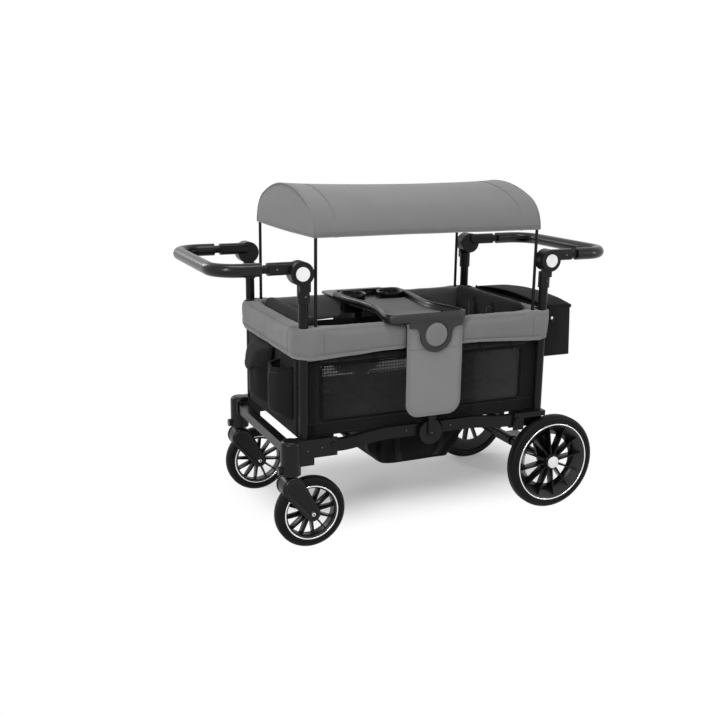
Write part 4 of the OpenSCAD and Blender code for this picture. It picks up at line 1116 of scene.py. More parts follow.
def roll_ties(name, sign, side):
    parts = []
    for x in (0.075, 0.190, 0.305):
        loop = [Vector((sign * x, side * (ROLL_Y + 0.0118 * math.cos(a)), ROLL_Z + 0.0112 * math.sin(a)))
                for a in (2 * math.pi * k / 18 for k in range(18))]
        rows = [[p + Vector((dx, 0, 0)) for p in loop] for dx in (-0.005, 0.005)]
        parts.append(settled(panel("tie", rows, web_black, closed=True, thick=0.0014)))
        hang = [Vector((sign * x + 0.002, side * (ROLL_Y + 0.0125 + 0.001 * k), ROLL_Z - 0.008 - 0.004 * k))
                for k in range(5)]
        parts.append(tube("tie_end", hang, 0.0022, web_black, sides=8, flat=0.4))
    return merge(name, parts)


for end, sign in (("rear", 1), ("front", -1)):
    for side, word in ((-1, "left"), (1, "right")):
        roll = shade_roll(f"shade_roll_{end}_{word}", sign, side)
        ties = roll_ties(f"shade_ties_{end}_{word}", sign, side)
        for piece in (roll, ties):
            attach(piece, f"{end}_top_rails")
print("shade rolls: 4")

# %% [markdown]
# ## End walls and pouches
# Each end of the tub is one black panel that turns in at the bottom as a short shelf. Two
# pouches hang on the outside of the front wall: a narrow one that is open, and a wide one under
# a soft hood. A pouch bulges from its side seams and has a rounded foot.


# %% End walls
def end_wall_cloth(end, sign, columns=45):
    profile = [(0.361 + 0.0705 * i / 8, 0.3467) for i in range(9)]
    profile += [(0.4315 + 0.005 * math.sin(a), 0.3517 - 0.005 * math.cos(a))
            for a in (math.pi / 2 * k / 4 for k in range(1, 5))]
    profile += [(0.4365, 0.3517 + 0.2553 * i / 24) for i in range(1, 25)]
    rows = []
    for x, z in profile:
        row = []
        for i in range(columns):
            y = -0.2325 + 0.465 * i / (columns - 1)
            free = max(0.0, min(1.0, (0.2325 - abs(y)) / 0.03, (0.607 - z) / 0.03, (z - 0.352) / 0.02))
            row.append(Vector((sign * (x - 0.0012 + 0.003 * free * ripple((y, z, sign), 9.0, 4.0)), y, z)))
        rows.append(row)
    return settled(panel(f"{end}_wall", rows, black_cloth, thick=0.0024))


for end, sign in (("rear", 1), ("front", -1)):
    wall = end_wall_cloth(end, sign)
    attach(wall, f"{end}_frame")
    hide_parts(f"{end}_end_wall")
print("end walls cut 0.465 by 0.338 m")

# %% [markdown]
# ## Front pouches
# Two pockets hang on the front wall, an open one and a wide one with a lid. Each is a bulged sheet
# fixed at its sides and foot, because a box would look stiff.

# %% Front pouches
POUCH_WALL, POUCH_FOOT, POUCH_TOP, POUCH_OUT = 0.4395, 0.398, 0.566, 0.056


def pouch_plan(s):
    return max(0.0, 1 - abs(s) ** 2.6) ** 0.62


def pouch_point(y0, width, s, t):
    foot = math.sqrt(1 - (1 - min(1.0, t / 0.22)) ** 2)
    gather = 1 - 0.10 * max(0.0, (t - 0.72) / 0.28) ** 2
    fold = 0.0028 * math.sin(s * 9 + y0 * 30) * (0.35 + 0.65 * t) * pouch_plan(s)
    out = POUCH_OUT * pouch_plan(s) * foot * gather + fold * foot + 0.003 * ripple((s, t, y0), 2.6,
            6.0) * foot * pouch_plan(s)
    z = POUCH_FOOT + (POUCH_TOP - POUCH_FOOT - 0.007 * (1 - s * s)) * t
    return Vector((-POUCH_WALL - max(0.0, out), y0 + width / 2 * s, z))


def pouch(name, y0, width):
    shares = [math.sin(math.pi / 2 * (2 * i / 36 - 1)) for i in range(37)]
    rows = [[pouch_point(y0, width, s, t) for s in shares] for t in [0.22 * (k / 8) ** 2 for k in range(8)]
            + [0.22 + 0.78 * k / 18 for k in range(19)]]
    cloth = settled(panel(name, rows, black_cloth, thick=0.0024))
    hem = tube(f"{name}_hem", [pouch_point(y0, width, s, 0.985) for s in shares], 0.0045, web_black,
            sides=8, flat=0.5)
    sewn = stitches(f"{name}_stitches", [[pouch_point(y0, width, s, 0.90) - Vector((0.0018, 0, 0))
            for s in shares[2:-2]]], thread_black)
    return [cloth, hem, sewn]


def pouch_hood(name, y0, width):
    shares = [math.sin(math.pi / 2 * (2 * i / 36 - 1)) for i in range(37)]
    rows = []
    for k in range(19):
        a = math.pi / 2 * k / 18
        row = []
        for s in shares:
            reach = 0.0125 + 0.053 * max(0.0, 1 - abs(s) ** 2.6) ** 0.5 + 0.003 * ripple((s, a, 1.0), 2.4,
                    9.0)
            low = 0.518 - 0.010 * math.cos(s * 5.0) * (k / 18)
            row.append(Vector((-POUCH_WALL + 0.002 - reach * math.sin(a) ** 0.75,
                    y0 + width / 2 * s * (1 + 0.04 * math.sin(a)),
                    low + (0.588 - low) * math.cos(a) ** 0.62)))
        rows.append(row)
    cloth = settled(panel(name, rows, black_cloth, thick=0.0026))
    bound = tube(f"{name}_binding", rows[-1], 0.0034, web_black, sides=8, flat=0.7)
    return [cloth, bound]


for piece in pouch("pouch_open", -0.150, 0.116) + pouch("pouch_wide", 0.040,
        0.148) + pouch_hood("pouch_hood", 0.040, 0.156):
    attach(piece, "front_frame")

# %% [markdown]
# ## Rear bag
# A stiffened box of black cloth behind the rear rim, with crisp piped edges and a lid that
# arches a little. On each side a tab runs from the rim to a press stud.

# %% Bag body and lid
BAG_X0, BAG_X1, BAG_TOP_X1, BAG_Y = 0.4522, 0.5685, 0.5610, 0.2212
BAG_LOW, BAG_TOP, LID_RISE = 0.5225, 0.6932, 0.018


def bag_ring(z, inset=0.0, corner=0.006):
    share = (z - BAG_LOW) / (BAG_TOP - BAG_LOW)
    x1 = BAG_X1 + (BAG_TOP_X1 - BAG_X1) * share - inset
    x0, y1 = BAG_X0 + inset, BAG_Y - inset
    line = []
    for cx, cy, start in ((x1 - corner, y1 - corner, 0), (x0 + corner, y1 - corner, 90),
            (x0 + corner, -y1 + corner, 180), (x1 - corner, -y1 + corner, 270)):
        line += [(cx + corner * math.cos(math.radians(start + 22.5 * k)),
                cy + corner * math.sin(math.radians(start + 22.5 * k))) for k in range(5)]
    full = []
    for (a, b), (c, d) in zip(line, line[1:] + line[:1]):
        steps = 28 if abs(b - d) > 0.1 else 9 if abs(a - c) > 0.05 else 1
        full += [(a + (c - a) * i / steps, b + (d - b) * i / steps) for i in range(steps)]
    slack = math.sin(math.pi * share)
    return [Vector((x + 0.0022 * slack * ripple((x, y, z), 11.0, 2.0) * (x > x0 + 0.01),
            y - math.copysign(0.0022, y) * slack * abs(ripple((x, z, y), 13.0, 5.0)), z)) for x, y in full]


def rear_bag():
    levels = [BAG_LOW + (BAG_TOP - BAG_LOW) * i / 22 for i in range(23)]
    body = settled(panel("bag_body", [bag_ring(z) for z in levels], black_cloth, closed=True, thick=0.0022))
    base = panel("bag_base", [[Vector((BAG_X0 + 0.004 + 0.108 * i / 10,
            -BAG_Y + 0.003 + 2 * (BAG_Y - 0.003) * k / 30, BAG_LOW)) for i in range(11)]
            for k in range(31)], black_cloth, thick=0.0022)
    lid_rows = []
    for i in range(13):
        over = i / 12
        x = BAG_X0 + 0.0005 + (BAG_TOP_X1 + 0.003 - BAG_X0) * min(1.0, over * 1.1)
        drop = 0.010 * max(0.0, over * 1.1 - 1) / 0.1
        row = []
        for k in range(41):
            y = -BAG_Y - 0.0012 + 2 * (BAG_Y + 0.0012) * k / 40
            crown = LID_RISE * (1 - (y / BAG_Y) ** 2)
            row.append(Vector((x, y, BAG_TOP + 0.0022 + max(-0.0005, crown) + 0.0012
                    * ripple((x, y, 0), 14.0, 8.0) - drop)))
        lid_rows.append(row)
    lid = settled(panel("bag_lid", lid_rows, black_cloth, thick=0.0022))
    piping = [tube("bag_pipe", bag_ring(z), 0.0016, web_black, sides=8, closed=True)
            for z in (BAG_LOW + 0.001, BAG_TOP)]
    for y in (-BAG_Y, BAG_Y):
        piping.append(tube("bag_corner", [Vector((BAG_X1 + (BAG_TOP_X1 - BAG_X1) * i / 12 - 0.001,
                y - math.copysign(0.001, y), BAG_LOW + (BAG_TOP - BAG_LOW) * i / 12)) for i in range(13)],
                0.0015, web_black, sides=8))
    piping.append(tube("lid_pipe", [p + Vector((0.0004, 0, 0)) for p in lid_rows[-2]], 0.0016, web_black,
            sides=8))
    return body, settled(base), lid, merge("bag_piping", piping)


bag_parts = rear_bag()
for piece in bag_parts:
    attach(piece, "rear_frame")
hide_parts("rear_bag")
print("bag: body, base, lid and piping")

# %% [markdown]
# ## Tabs and press studs
# Short web tabs hold the soft parts and press studs close them. The tabs are flat ribbons along a
# path, because a tube would be too round, and the studs are small turned discs.


# %% Tabs and press studs
def ribbon(name, path, across, width, thick, material):
    """A flat strap along a path, with its width along a fixed direction."""
    side = Vector(across).normalized() * width / 2
    rows = [[Vector(p) + side * s for s in (-1, -0.5, 0, 0.5, 1)] for p in path]
    return settled(panel(name, rows, material, thick=thick))


def disc(name, centre, facing, radius, height, material, sides=24):
    """A low button with a rounded edge, facing along a direction."""
    turn = Vector(facing).to_track_quat("Z", "Y").to_matrix()
    rows = []
    for r, h in ((0, 0), (radius, 0), (radius, height * 0.5), (radius * 0.93, height * 0.85),
            (radius * 0.8, height), (0, height)):
        rows.append([Vector(centre) + turn @ Vector((r * math.cos(a), r * math.sin(a), h))
                for a in (2 * math.pi * k / sides for k in range(sides))])
    return outwards(panel(name, rows, material, closed=True))


tab_parts, stud_parts = [], []
for side in (-1, 1):
    y = side * (BAG_Y + 0.0022)
    path = [(0.498, y, 0.6465), (0.486, y, 0.655), (0.470, y, 0.668), (0.459, y, 0.6805), (0.451, y, 0.6905)]
    tab_parts.append(ribbon("tab", path, (0.55, 0, 0.8), 0.026, 0.0022, web_black))
    over = [(0.4535, side * 0.236, 0.664), (0.4530, side * 0.236, 0.680), (0.4475, side * 0.236, 0.691),
            (0.438, side * 0.236, 0.6962), (0.424, side * 0.236, 0.6970), (0.410, side * 0.236, 0.6962)]
    tab_parts.append(ribbon("tab_over", over, (0, 1, 0), 0.024, 0.0020, web_black))
    stud_parts.append(disc("stud", (0.4865, y + side * 0.001, 0.6545), (0, side, 0), 0.0052, 0.0030,
            zinc_steel))
for y in (0.2365,):
    wrap = [(-0.4535, y, 0.612), (-0.4545, y, 0.630), (-0.4545, y, 0.668), (-0.4530, y, 0.682),
            (-0.4470, y, 0.6925), (-0.436, y, 0.6965), (-0.420, y, 0.6972)]
    loop = ribbon("rim_loop", wrap, (0, 1, 0), 0.024, 0.0022, web_black)
    knob = disc("rim_stud", (-0.4554, y, 0.640), (-1, 0, 0), 0.0048, 0.0026, zinc_steel)
    front_loop = merge("rim_loop", [loop, knob])
bag_tabs = merge("bag_tabs", tab_parts)
bag_studs = merge("bag_studs", stud_parts)
for piece, body, slot in ((bag_tabs, "rear_frame", "black_cloth"), (bag_studs, "rear_frame", "bright_steel"),
        (front_loop, "front_frame", "black_cloth")):
    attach(piece, body)
print("tabs, studs and the front loop")

# %% [markdown]
# ## Seats
# Two seats face each other. A cushion lies on each floor half and a backrest stands against the
# end rim. They are rounded blocks of foam in charcoal cloth; seams pull the cloth in as shallow
# channels. Shoulder straps, lap straps and a buckle lie on each seat.


# %% Foam blocks
def foam_block(name, centre, half, corner, cells, material, shape):
    """A rounded block whose points are then moved by the shape function (place, normal) -> place."""
    block = bmesh.new()
    bmesh.ops.create_cube(block, size=2.0)
    bmesh.ops.subdivide_edges(block, edges=block.edges[:], cuts=cells, use_grid_fill=True)
    core = [h - corner for h in half]
    for vert in block.verts:
        p = Vector((vert.co[i] * half[i] for i in range(3)))
        inner = Vector((max(-core[i], min(core[i], p[i])) for i in range(3)))
        way = p - inner
        normal = way.normalized() if way.length else Vector((0, 0, 1))
        vert.co = Vector(centre) + shape(inner + normal * corner, normal)
    layer = block.loops.layers.uv.new("cloth")
    block.normal_update()
    for face in block.faces:
        axis = max(range(3), key=lambda i: abs(face.normal[i]))
        u, v = [i for i in range(3) if i != axis]
        for loop in face.loops:
            loop[layer].uv = (loop.vert.co[u], loop.vert.co[v])
        face.smooth = True
    mesh = bpy.data.meshes.new(name)
    block.to_mesh(mesh)
    block.free()
    return put(name, mesh, material)


CUSHION_Z, CUSHION_HALF = 0.3752, (0.124, 0.199, 0.0175)
BACK_X, BACK_Z, BACK_HALF = 0.3715, 0.5685, (0.0215, 0.2035, 0.1415)
CUSHION_SEAMS, BACK_SEAMS = (-0.062, 0.0, 0.062), (-0.072, 0.0, 0.072)


def groove(value, seams, width=0.008):
    return sum(math.exp(-((value - s) / width) ** 2) for s in seams)


def cushion_shape(p, normal):
    flat = max(0.0, 1 - (p.x / 0.124) ** 4) * max(0.0, 1 - (p.y / 0.199) ** 4)
    swell = 0.0032 * flat - 0.0052 * groove(p.x, CUSHION_SEAMS) * min(1.0, flat * 2)
    crease = 0.0011 * ripple(p, 16.0, 4.0) + 0.0006 * ripple(p, 42.0, 6.0)
    return p + normal * ((swell if normal.z > 0 else 0.0) + crease * (0.3 + 0.7 * (normal.z > -0.5)))


def back_shape(sign):
    def shape(p, normal):
        flat = max(0.0, 1 - (p.z / 0.1415) ** 4) * max(0.0, 1 - (p.y / 0.2035) ** 4)
        front = max(0.0, -sign * normal.x)
        swell = 0.002 * flat - 0.0062 * groove(p.z, BACK_SEAMS) * min(1.0, flat * 2)
        crease = 0.0011 * ripple(p, 15.0, 9.0) + 0.0006 * ripple(p, 40.0, 1.0)
        return p + normal * (front * swell + crease * 0.7)
    return shape


print("foam blocks: recipe ready")

# %% [markdown]
# ## Seats and straps
# The foam blocks get their place and the harness is laid over them. Webbing is modelled flat along
# a path, because a remesh would erase it.


# %% Seats and straps
def strap_path(sign, y, lift=0.0):
    face = BACK_X - BACK_HALF[0] - 0.0022 - lift
    line = [(face - 0.0006 * math.sin(9 * k), 0.690 - 0.016 * k) for k in range(16)]
    line += [(face - 0.006, 0.436), (face - 0.014, 0.420), (face - 0.028, 0.409), (face - 0.046, 0.4035)]
    line += [(face - 0.060 - 0.014 * k, 0.4010 + 0.0006 * math.sin(k)) for k in range(4)]
    return [Vector((sign * x, y * (1 - 0.35 * i / len(line)), z)) for i, (x, z) in enumerate(line)]


def harness(end, sign):
    parts = []
    for y in (-0.062, 0.062):
        parts.append(ribbon("shoulder", strap_path(sign, y), (0, 1, 0), 0.024, 0.0016, web_black))
        pad = strap_path(sign, y, 0.0035)[1:9]
        parts.append(ribbon("pad", pad, (0, 1, 0), 0.042, 0.0065, seat_cloth))
    for side in (-1, 1):
        lap = [Vector((sign * (0.318 - 0.006 * k - 0.0009 * k * k), side * (0.170 - 0.0155 * k),
                0.4020 + 0.0006 * math.sin(k * 1.3))) for k in range(10)]
        parts.append(ribbon("lap", lap, (1, 0, 0), 0.024, 0.0016, web_black))
    crotch = [Vector((sign * (0.185 + 0.008 * k), 0, 0.3995 + 0.0035 * math.sin(math.pi * k / 8)))
            for k in range(8)]
    parts.append(ribbon("crotch", crotch, (0, 1, 0), 0.024, 0.0016, web_black))
    box = foam_block("buckle", (sign * 0.252, 0, 0.4075), (0.021, 0.024, 0.0065), 0.004, 6, moulded,
            lambda p, n: p)
    parts.append(box)
    parts.append(disc("buckle_press", (sign * 0.252, 0, 0.4138), (0, 0, 1), 0.0095, 0.0022, grey_moulded))
    return merge(f"{end}_harness", parts)


for end, sign in (("rear", 1), ("front", -1)):
    cushion = foam_block(f"{end}_cushion", (sign * 0.2695, 0, CUSHION_Z), CUSHION_HALF, 0.0165, 47,
            seat_cloth, cushion_shape)
    back = foam_block(f"{end}_backrest", (sign * BACK_X, 0, BACK_Z), BACK_HALF, 0.020, 47, seat_cloth,
            back_shape(sign))
    straps = harness(end, sign)
    lines = [[Vector((sign * 0.2695 + s, -0.18 + 0.36 * i / 40, CUSHION_Z + 0.0150)) for i in range(41)]
            for s in CUSHION_SEAMS]
    seat_seams = stitches(f"{end}_cushion_stitches", lines, thread_black)
    for piece in (cushion, seat_seams):
        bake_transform(piece)
    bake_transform(straps)
    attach(back, f"{end}_frame")
    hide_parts(f"{end}_seat")
print("seats: two cushions, two backrests, two harnesses")

# %% [markdown]
# ## Basket
# A slack black bag hangs from the cross tubes under the middle. Its rim is bound, webbing loops
# hold it, and the cloth droops in diagonal folds from the loops to the rounded bottom.

# %% Basket cloth
BASKET_TOP, BASKET_LOW, BASKET_X, BASKET_FOOT, BASKET_Y = 0.3255, 0.2040, 0.1760, 0.1310, 0.2105
BASKET_SQUARE = 0.20


def basket_point(turn, depth):
    """A point round the basket: depth 0 is the bound rim, 1 the bottom edge, 2 the bottom's middle."""
    c, s = math.cos(turn), math.sin(turn)
    px = math.copysign(abs(c) ** BASKET_SQUARE, c)
    py = math.copysign(abs(s) ** BASKET_SQUARE, s)
    down = min(1.0, depth)
    half_x = BASKET_X + (BASKET_FOOT - BASKET_X) * down ** 1.15
    half_y = BASKET_Y - 0.012 * down ** 3
    flat = max(0.0, depth - 1.0)
    fold = 0.0050 * math.sin(turn * 14 + 7 * down) * math.sin(math.pi
            * down) + 0.007 * ripple((px, py, down), 3.2, 2.0) * down
    x = px * (half_x + 0.006 * math.sin(math.pi * down) + fold) * (1 - flat)
    y = py * (half_y - 0.005 * math.sin(math.pi * down) + fold) * (1 - flat)
    sag = 0.0055 * math.sin(math.pi * min(1.0, down)) * math.cos(4 * turn)
    z = BASKET_TOP - (BASKET_TOP - BASKET_LOW) * (1 - (1 - down) ** 1.08) + sag * 0.6 + (0.0025 * (1 - flat)
            if depth > 1 else 0.003)
    return Vector((x, y, max(BASKET_LOW - 0.001, z)))


def basket():
    turns = []
    for q in range(4):
        turns += [math.pi / 2 * q + math.pi / 4 + math.pi / 2 * (i / 34 - 0.5) for i in range(34)]
    depths = [0, 0.04] + [0.1 + 0.8 * i / 16 for i in range(17)] + [0.94, 0.97, 1.0, 1.05, 1.15, 1.35, 1.65,
            1.9, 1.999]
    rows = [[basket_point(t, d) for t in turns] for d in depths]
    cloth = settled(panel("basket_cloth", rows, basket_black, closed=True, thick=0.0022))
    rim = tube("basket_rim", rows[0], 0.0036, web_black, sides=8, flat=0.8, closed=True)
    straps = []
    for x in (-0.110, 0.110):
        for y in (-0.165, -0.055, 0.055, 0.165):
            loop = [Vector((x + 0.0112 * math.cos(a), y, 0.3357 + 0.0112 * math.sin(a)))
                    for a in (2 * math.pi * k / 16 for k in range(17))]
            straps.append(ribbon("loop", loop, (0, 1, 0), 0.022, 0.0012, web_black))
    for side in (-1, 1):
        for x in (-0.085, 0.085):
            line = []
            for k in range(12):
                depth = 0.02 + 0.9 * k / 11
                turn = math.atan2(side, math.copysign((abs(x) / BASKET_X) ** (1 / BASKET_SQUARE), x))
                line.append(basket_point(turn, depth) + Vector((0, side * 0.0022, 0)))
            straps.append(ribbon("side_strap", line, (1, 0, 0), 0.020, 0.0016, web_black))
    return cloth, rim, merge("basket_straps", straps)


basket_parts = basket()
for piece in basket_parts:
    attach(piece, "centre")
    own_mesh(piece)
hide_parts("basket")
print("basket", len(basket_parts[0].data.polygons), "faces")

# %% [markdown]
# ## Floor mats
# A thin cloth mat lies on each floor board. It is one sheet, slightly uneven, held flat by what is
# under it.


# %% Floor mats
def floor_mat(end, sign):
    rows = []
    for i in range(25):
        x = 0.0045 + 0.3225 * i / 24
        rows.append([Vector((sign * x, -0.225 + 0.45 * k / 32,
                0.3546 + 0.0006 * ripple((x, k / 32, sign), 12.0, 3.0))) for k in range(33)])
    return settled(panel(f"{end}_floor_mat", rows, black_cloth, thick=0.0022))


for end, sign in (("rear", 1), ("front", -1)):
    mat = floor_mat(end, sign)
    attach(mat, f"{end}_floor")
print("floor mats cut 0.3225 by 0.45 m")

# %% [markdown]
# ## Wheels
# A wheel is a black barrel that narrows towards its back, twelve deep blades from the hub to the
# barrel, a thin bright ring at the outside edge and, at the rear, a white cap. Barrel, ring and
# tyre are turned round the axle; the blades are set round the hub by a node tree. The tyre has
# round shoulders, a line on the side wall and a fine tread.


# %% Turning and spokes
def lathe(name, profile, material, steps=128, loop=True, tread=None):
    """Turns a profile of (radius, height) round the z axis."""
    rows = []
    for r, h in profile:
        rows.append([Vector(((r + (tread(r, h, k) if tread else 0)) * math.cos(2 * math.pi * k / steps),
                (r + (tread(r, h, k) if tread else 0)) * math.sin(2 * math.pi * k / steps), h))
                for k in range(steps)])
    return outwards(panel(name, rows, material, closed=True, around=loop))


def build_spokes():
    tree, start, end = shape_tree("blades_round_a_hub",
            [("Count", "NodeSocketInt", 12), ("First angle", FLOAT, 0.0),
            ("Material", "NodeSocketMaterial", None)])
    ring = add(tree, "GeometryNodeMeshLine", mode="OFFSET")
    ring.inputs["Offset"].default_value = (0, 0, 0)
    index = tree.nodes.new("GeometryNodeInputIndex")
    step = calc(tree, "DIVIDE", 2 * math.pi, start.outputs["Count"])
    angle = calc(tree, "MULTIPLY_ADD", index.outputs[0], step, start.outputs["First angle"])
    turn = tree.nodes.new("ShaderNodeCombineXYZ")
    place = tree.nodes.new("GeometryNodeInstanceOnPoints")
    join(tree, start.outputs["Count"], ring.inputs["Count"])
    join(tree, angle, turn.inputs[2])
    join(tree, ring.outputs[0], place.inputs["Points"])
    join(tree, start.outputs["Geometry"], place.inputs["Instance"])
    join(tree, turn.outputs[0], place.inputs["Rotation"])
    close_tree(tree, place.outputs[0], start.outputs["Material"], end)
    return tree


SPOKES = build_spokes()


def blade(name, outline, thick_root, thick_tip):
    """One blade as a plate in the plane of the axle, thicker at its root."""
    lo, hi = min(r for r, h in outline), max(r for r, h in outline)
    points, n = [], len(outline)
    for side in (-1, 1):
        for r, h in outline:
            t = thick_root + (thick_tip - thick_root) * (r - lo) / (hi - lo)
            points.append((r, side * t / 2, h))
    faces = [tuple(range(n)), tuple(range(2 * n - 1, n - 1, -1))]
    faces += [(i, (i + 1) % n, n + (i + 1) % n, n + i)[::-1] for i in range(n)]
    mesh = bpy.data.meshes.new(name)
    mesh.from_pydata(points, [], faces)
    piece = outwards(put(name, mesh, None))
    edge = piece.modifiers.new("edge", "BEVEL")
    edge.width, edge.segments, edge.limit_method = 0.0009, 2, "ANGLE"
    return settled(piece)


def arc_points(cx, cy, r, a0, a1, count):
    return [(cx + r * math.cos(math.radians(a0 + (a1 - a0) * k / count)),
            cy + r * math.sin(math.radians(a0 + (a1 - a0) * k / count))) for k in range(count + 1)]


def tyre_profile(ring_r, r, w):
    band, half = r - ring_r, w / 2
    big, small = 0.56 * band, 0.24 * band
    out = [(r, 0.0), (r, 0.0045), (r - 0.0011, 0.0052), (r - 0.0011, 0.0062), (r, 0.0070)]
    shoulder = [(r - big + big * math.cos(math.radians(a)),
            half - big * 0.82 + big * 0.82 * math.sin(math.radians(a))) for a in range(0, 91, 10)]
    wall = [(ring_r + 0.40 * band, half), (ring_r + 0.385 * band, half - 0.0016),
            (ring_r + 0.33 * band, half - 0.0016), (ring_r + 0.315 * band, half - 0.0001)]
    bead = [(ring_r + small * (1 - math.sin(math.radians(a))),
            half - small + small * math.cos(math.radians(a))) for a in range(0, 91, 15)]
    half_line = out + shoulder + wall + bead
    return half_line + [(p, -q) for p, q in half_line[:0:-1]]


def tread(r_out):
    def cut(r, h, k):
        if r > r_out - 0.0105 and abs(h) > 0.0072:
            return -0.0008 if k % 4 in (0, 1) else 0.0
        return 0.0
    return cut


print("wheels: lathe, blade and tyre recipes ready")

# %% [markdown]
# ## Wheels in place
# All four wheels come from one recipe with two sets of sizes. Each is turned lying flat and then
# stood on its axle, left and right mirrored.

# %% Set the wheels
WHEELS = {"rear": dict(x=0.476, y=0.276, r=0.164, w=0.042, ring=0.137, hub=0.0285, back=0.090,
        names=("rear_wheel", "rear_tyre")), "front": dict(x=-0.405, y=0.262, r=0.114, w=0.040, ring=0.0885,
        hub=0.0215, back=0.077, names=("front_wheel", "front_tyre")),}


def wheel_parts(tag, w, ring, hub, back, **rest):
    half = w / 2
    face = half - 0.0012
    barrel = lathe("barrel", [(ring - 0.0006, face - 0.003), (ring - 0.0040, face - 0.0012),
            (ring - 0.0065, face - 0.0022), (ring - 0.0105, face - 0.0060),
            ((ring + back) / 2 - 0.003, 0.0), (back, -half + 0.0035), (back + 0.0012, -half + 0.001),
            (back + 0.004, -half + 0.0005), (ring - 0.006, -half + 0.002), (ring - 0.0006, -half + 0.003)],
            barrel_black)
    shine = lathe("shine", arc_points(ring - 0.0026, face - 0.0004, 0.0023, 0, 330, 11), bright_ring)
    nave = lathe("nave", [(0.0085, -half), (hub, -half), (hub, face - 0.010), (hub - 0.0015, face - 0.004),
            (hub - 0.004, face), (0.0085, face)], wheel_black, steps=64)
    plate = blade("blade", [(hub - 0.004, face - 0.0055), (ring - 0.0125, face - 0.0062),
            ((ring + back) / 2 + 0.001, -0.001), (back + 0.0025, -half + 0.0042),
            (hub - 0.004, -half + 0.0042)], 0.0066, 0.0036)
    spokes = grow(plate, SPOKES, Count=12, **{"First angle": 0.13, "Material": wheel_black})
    parts = [barrel, shine, nave, spokes]
    if tag == "front":
        parts.append(lathe("inner_shine", arc_points(ring - 0.0026, -half + 0.0022, 0.0023, 0, 330, 11),
                bright_ring))
    if tag == "rear":
        parts.append(lathe("cap", [(0.0, half), (0.0205, half), (0.0205, half + 0.0032),
                (0.0192, half + 0.0044), (0.0165, half + 0.0050), (0.0, half + 0.0056)], white_gloss,
                steps=64, loop=False))
    return parts


for tag, size in WHEELS.items():
    for side, word, letter in ((-1, "left", "l"), (1, "right", "r")):
        turn = Matrix.Translation((size["x"], side * size["y"], size["r"])) @ Matrix.Rotation(-side
                * math.pi / 2, 4, "X")
        wheel = merge(f"{tag}_wheel_made_{word}", wheel_parts(tag, **size))
        tyre = lathe(f"{tag}_tyre_made_{word}", tyre_profile(size["ring"], size["r"], size["w"]),
                tyre_rubber, steps=480, tread=tread(size["r"]))
        for piece, node, slot in ((wheel, f"{tag}_wheel_{word}", "wheel_plastic"),
                (tyre, f"{tag}_tyre_{word}", "tyre")):
            piece.data.transform(turn)
            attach(piece, f"{tag}_wheel_{letter}")
            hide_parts(node)
        print(wheel.name, len(wheel.data.polygons), tyre.name, len(tyre.data.polygons))

# %% [markdown]
# ## Castor arms
# Each castor fork has two moulded arms with full, rounded faces and a raised line along them,
# and a plated axle bolt through both. An arm's outline is the belt round two circles, one at the
# crown and one at the axle. Rings of that belt, drawn in step by step, make the rounded face.


# %% Castor arms and bolts
CROWN_SPOT, AXLE_SPOT, CROWN_R, FOOT_R = (-0.467, 0.204), (-0.405, 0.114), 0.0366, 0.0246
ARM_FACE = [(0.0020, 0.0236), (0.0, 0.0250), (0.0, 0.0280), (0.0016, 0.0312), (0.0052, 0.0350),
        (0.0068, 0.0360), (0.0088, 0.0364), (0.0104, 0.0362), (0.0122, 0.0342), (0.0150, 0.0336),
        (0.0200, 0.0336), (0.0246, 0.0338)]


def belt_outline(inset, steps=72):
    """The outline round the two circles, both drawn in by an inset, as (x, z)."""
    line = []
    for k in range(steps):
        a = 2 * math.pi * (k + 0.5) / steps
        way = (math.cos(a), math.sin(a))
        rings = [(CROWN_SPOT, max(0.0, CROWN_R - inset)), (AXLE_SPOT, max(0.0, FOOT_R - inset))]
        (x, z), r = max(rings, key=lambda ring: ring[0][0] * way[0] + ring[0][1] * way[1] + ring[1])
        line.append((x + r * way[0], z + r * way[1]))
    return line


def castor_arm(side, face):
    rows = [[Vector((x, side * CASTOR_Y + face * h, z)) for x, z in belt_outline(inset)] for inset,
            h in ARM_FACE]
    inner = [Vector((x, side * CASTOR_Y + face * ARM_FACE[0][1], z)) for x, z in belt_outline(CROWN_R)]
    outer = [Vector((x, side * CASTOR_Y + face * ARM_FACE[-1][1], z)) for x, z in belt_outline(CROWN_R)]
    return outwards(panel("castor_arm", [inner] + rows + [outer], moulded, closed=True))


CASTOR_Y = WHEELS["front"]["y"]
for side, word, letter in ((-1, "left", "l"), (1, "right", "r")):
    arms = merge(f"castor_arms_{word}", [castor_arm(side, face) for face in (-1, 1)])
    heads = []
    for face in (-1, 1):
        y = side * CASTOR_Y + face * 0.0336
        heads.append(disc("washer", (AXLE_SPOT[0], y, AXLE_SPOT[1]), (0, face, 0), 0.0092, 0.0012,
                zinc_steel))
        heads.append(disc("bolt", (AXLE_SPOT[0], y + face * 0.0010, AXLE_SPOT[1]), (0, face, 0), 0.0066,
                0.0030, zinc_steel))
        # The socket is not cut into the bolt: a thin dark hexagon on its head is painted shade for the
        # socket's hollow.
        heads.append(disc("socket_shade", (AXLE_SPOT[0], y + face * 0.0040, AXLE_SPOT[1]), (0, face, 0),
                0.0030, 0.0002, rod_coat, 6))
    bolts = merge(f"castor_bolts_{word}", heads)
    for piece, slot in ((arms, "hard_plastic"), (bolts, "bright_steel")):
        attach(piece, f"castor_{letter}")
print("castor arms", len(arms.data.polygons), "faces each side")

# %% [markdown]
# ## Tray
# The tray is a black plate with a thick rounded lip all round, two cup holders at its far end, and
# an end plate at each rail whose ring holds the release button. It lies a little towards the front
# of the wagon and is widest at its two ends. The plate and the end plates are cut from flat
# outlines and have rounded edges; the lip is one section swept round the outline; the cups are
# turned. The release buttons are low grey domes with a narrow groove round them.


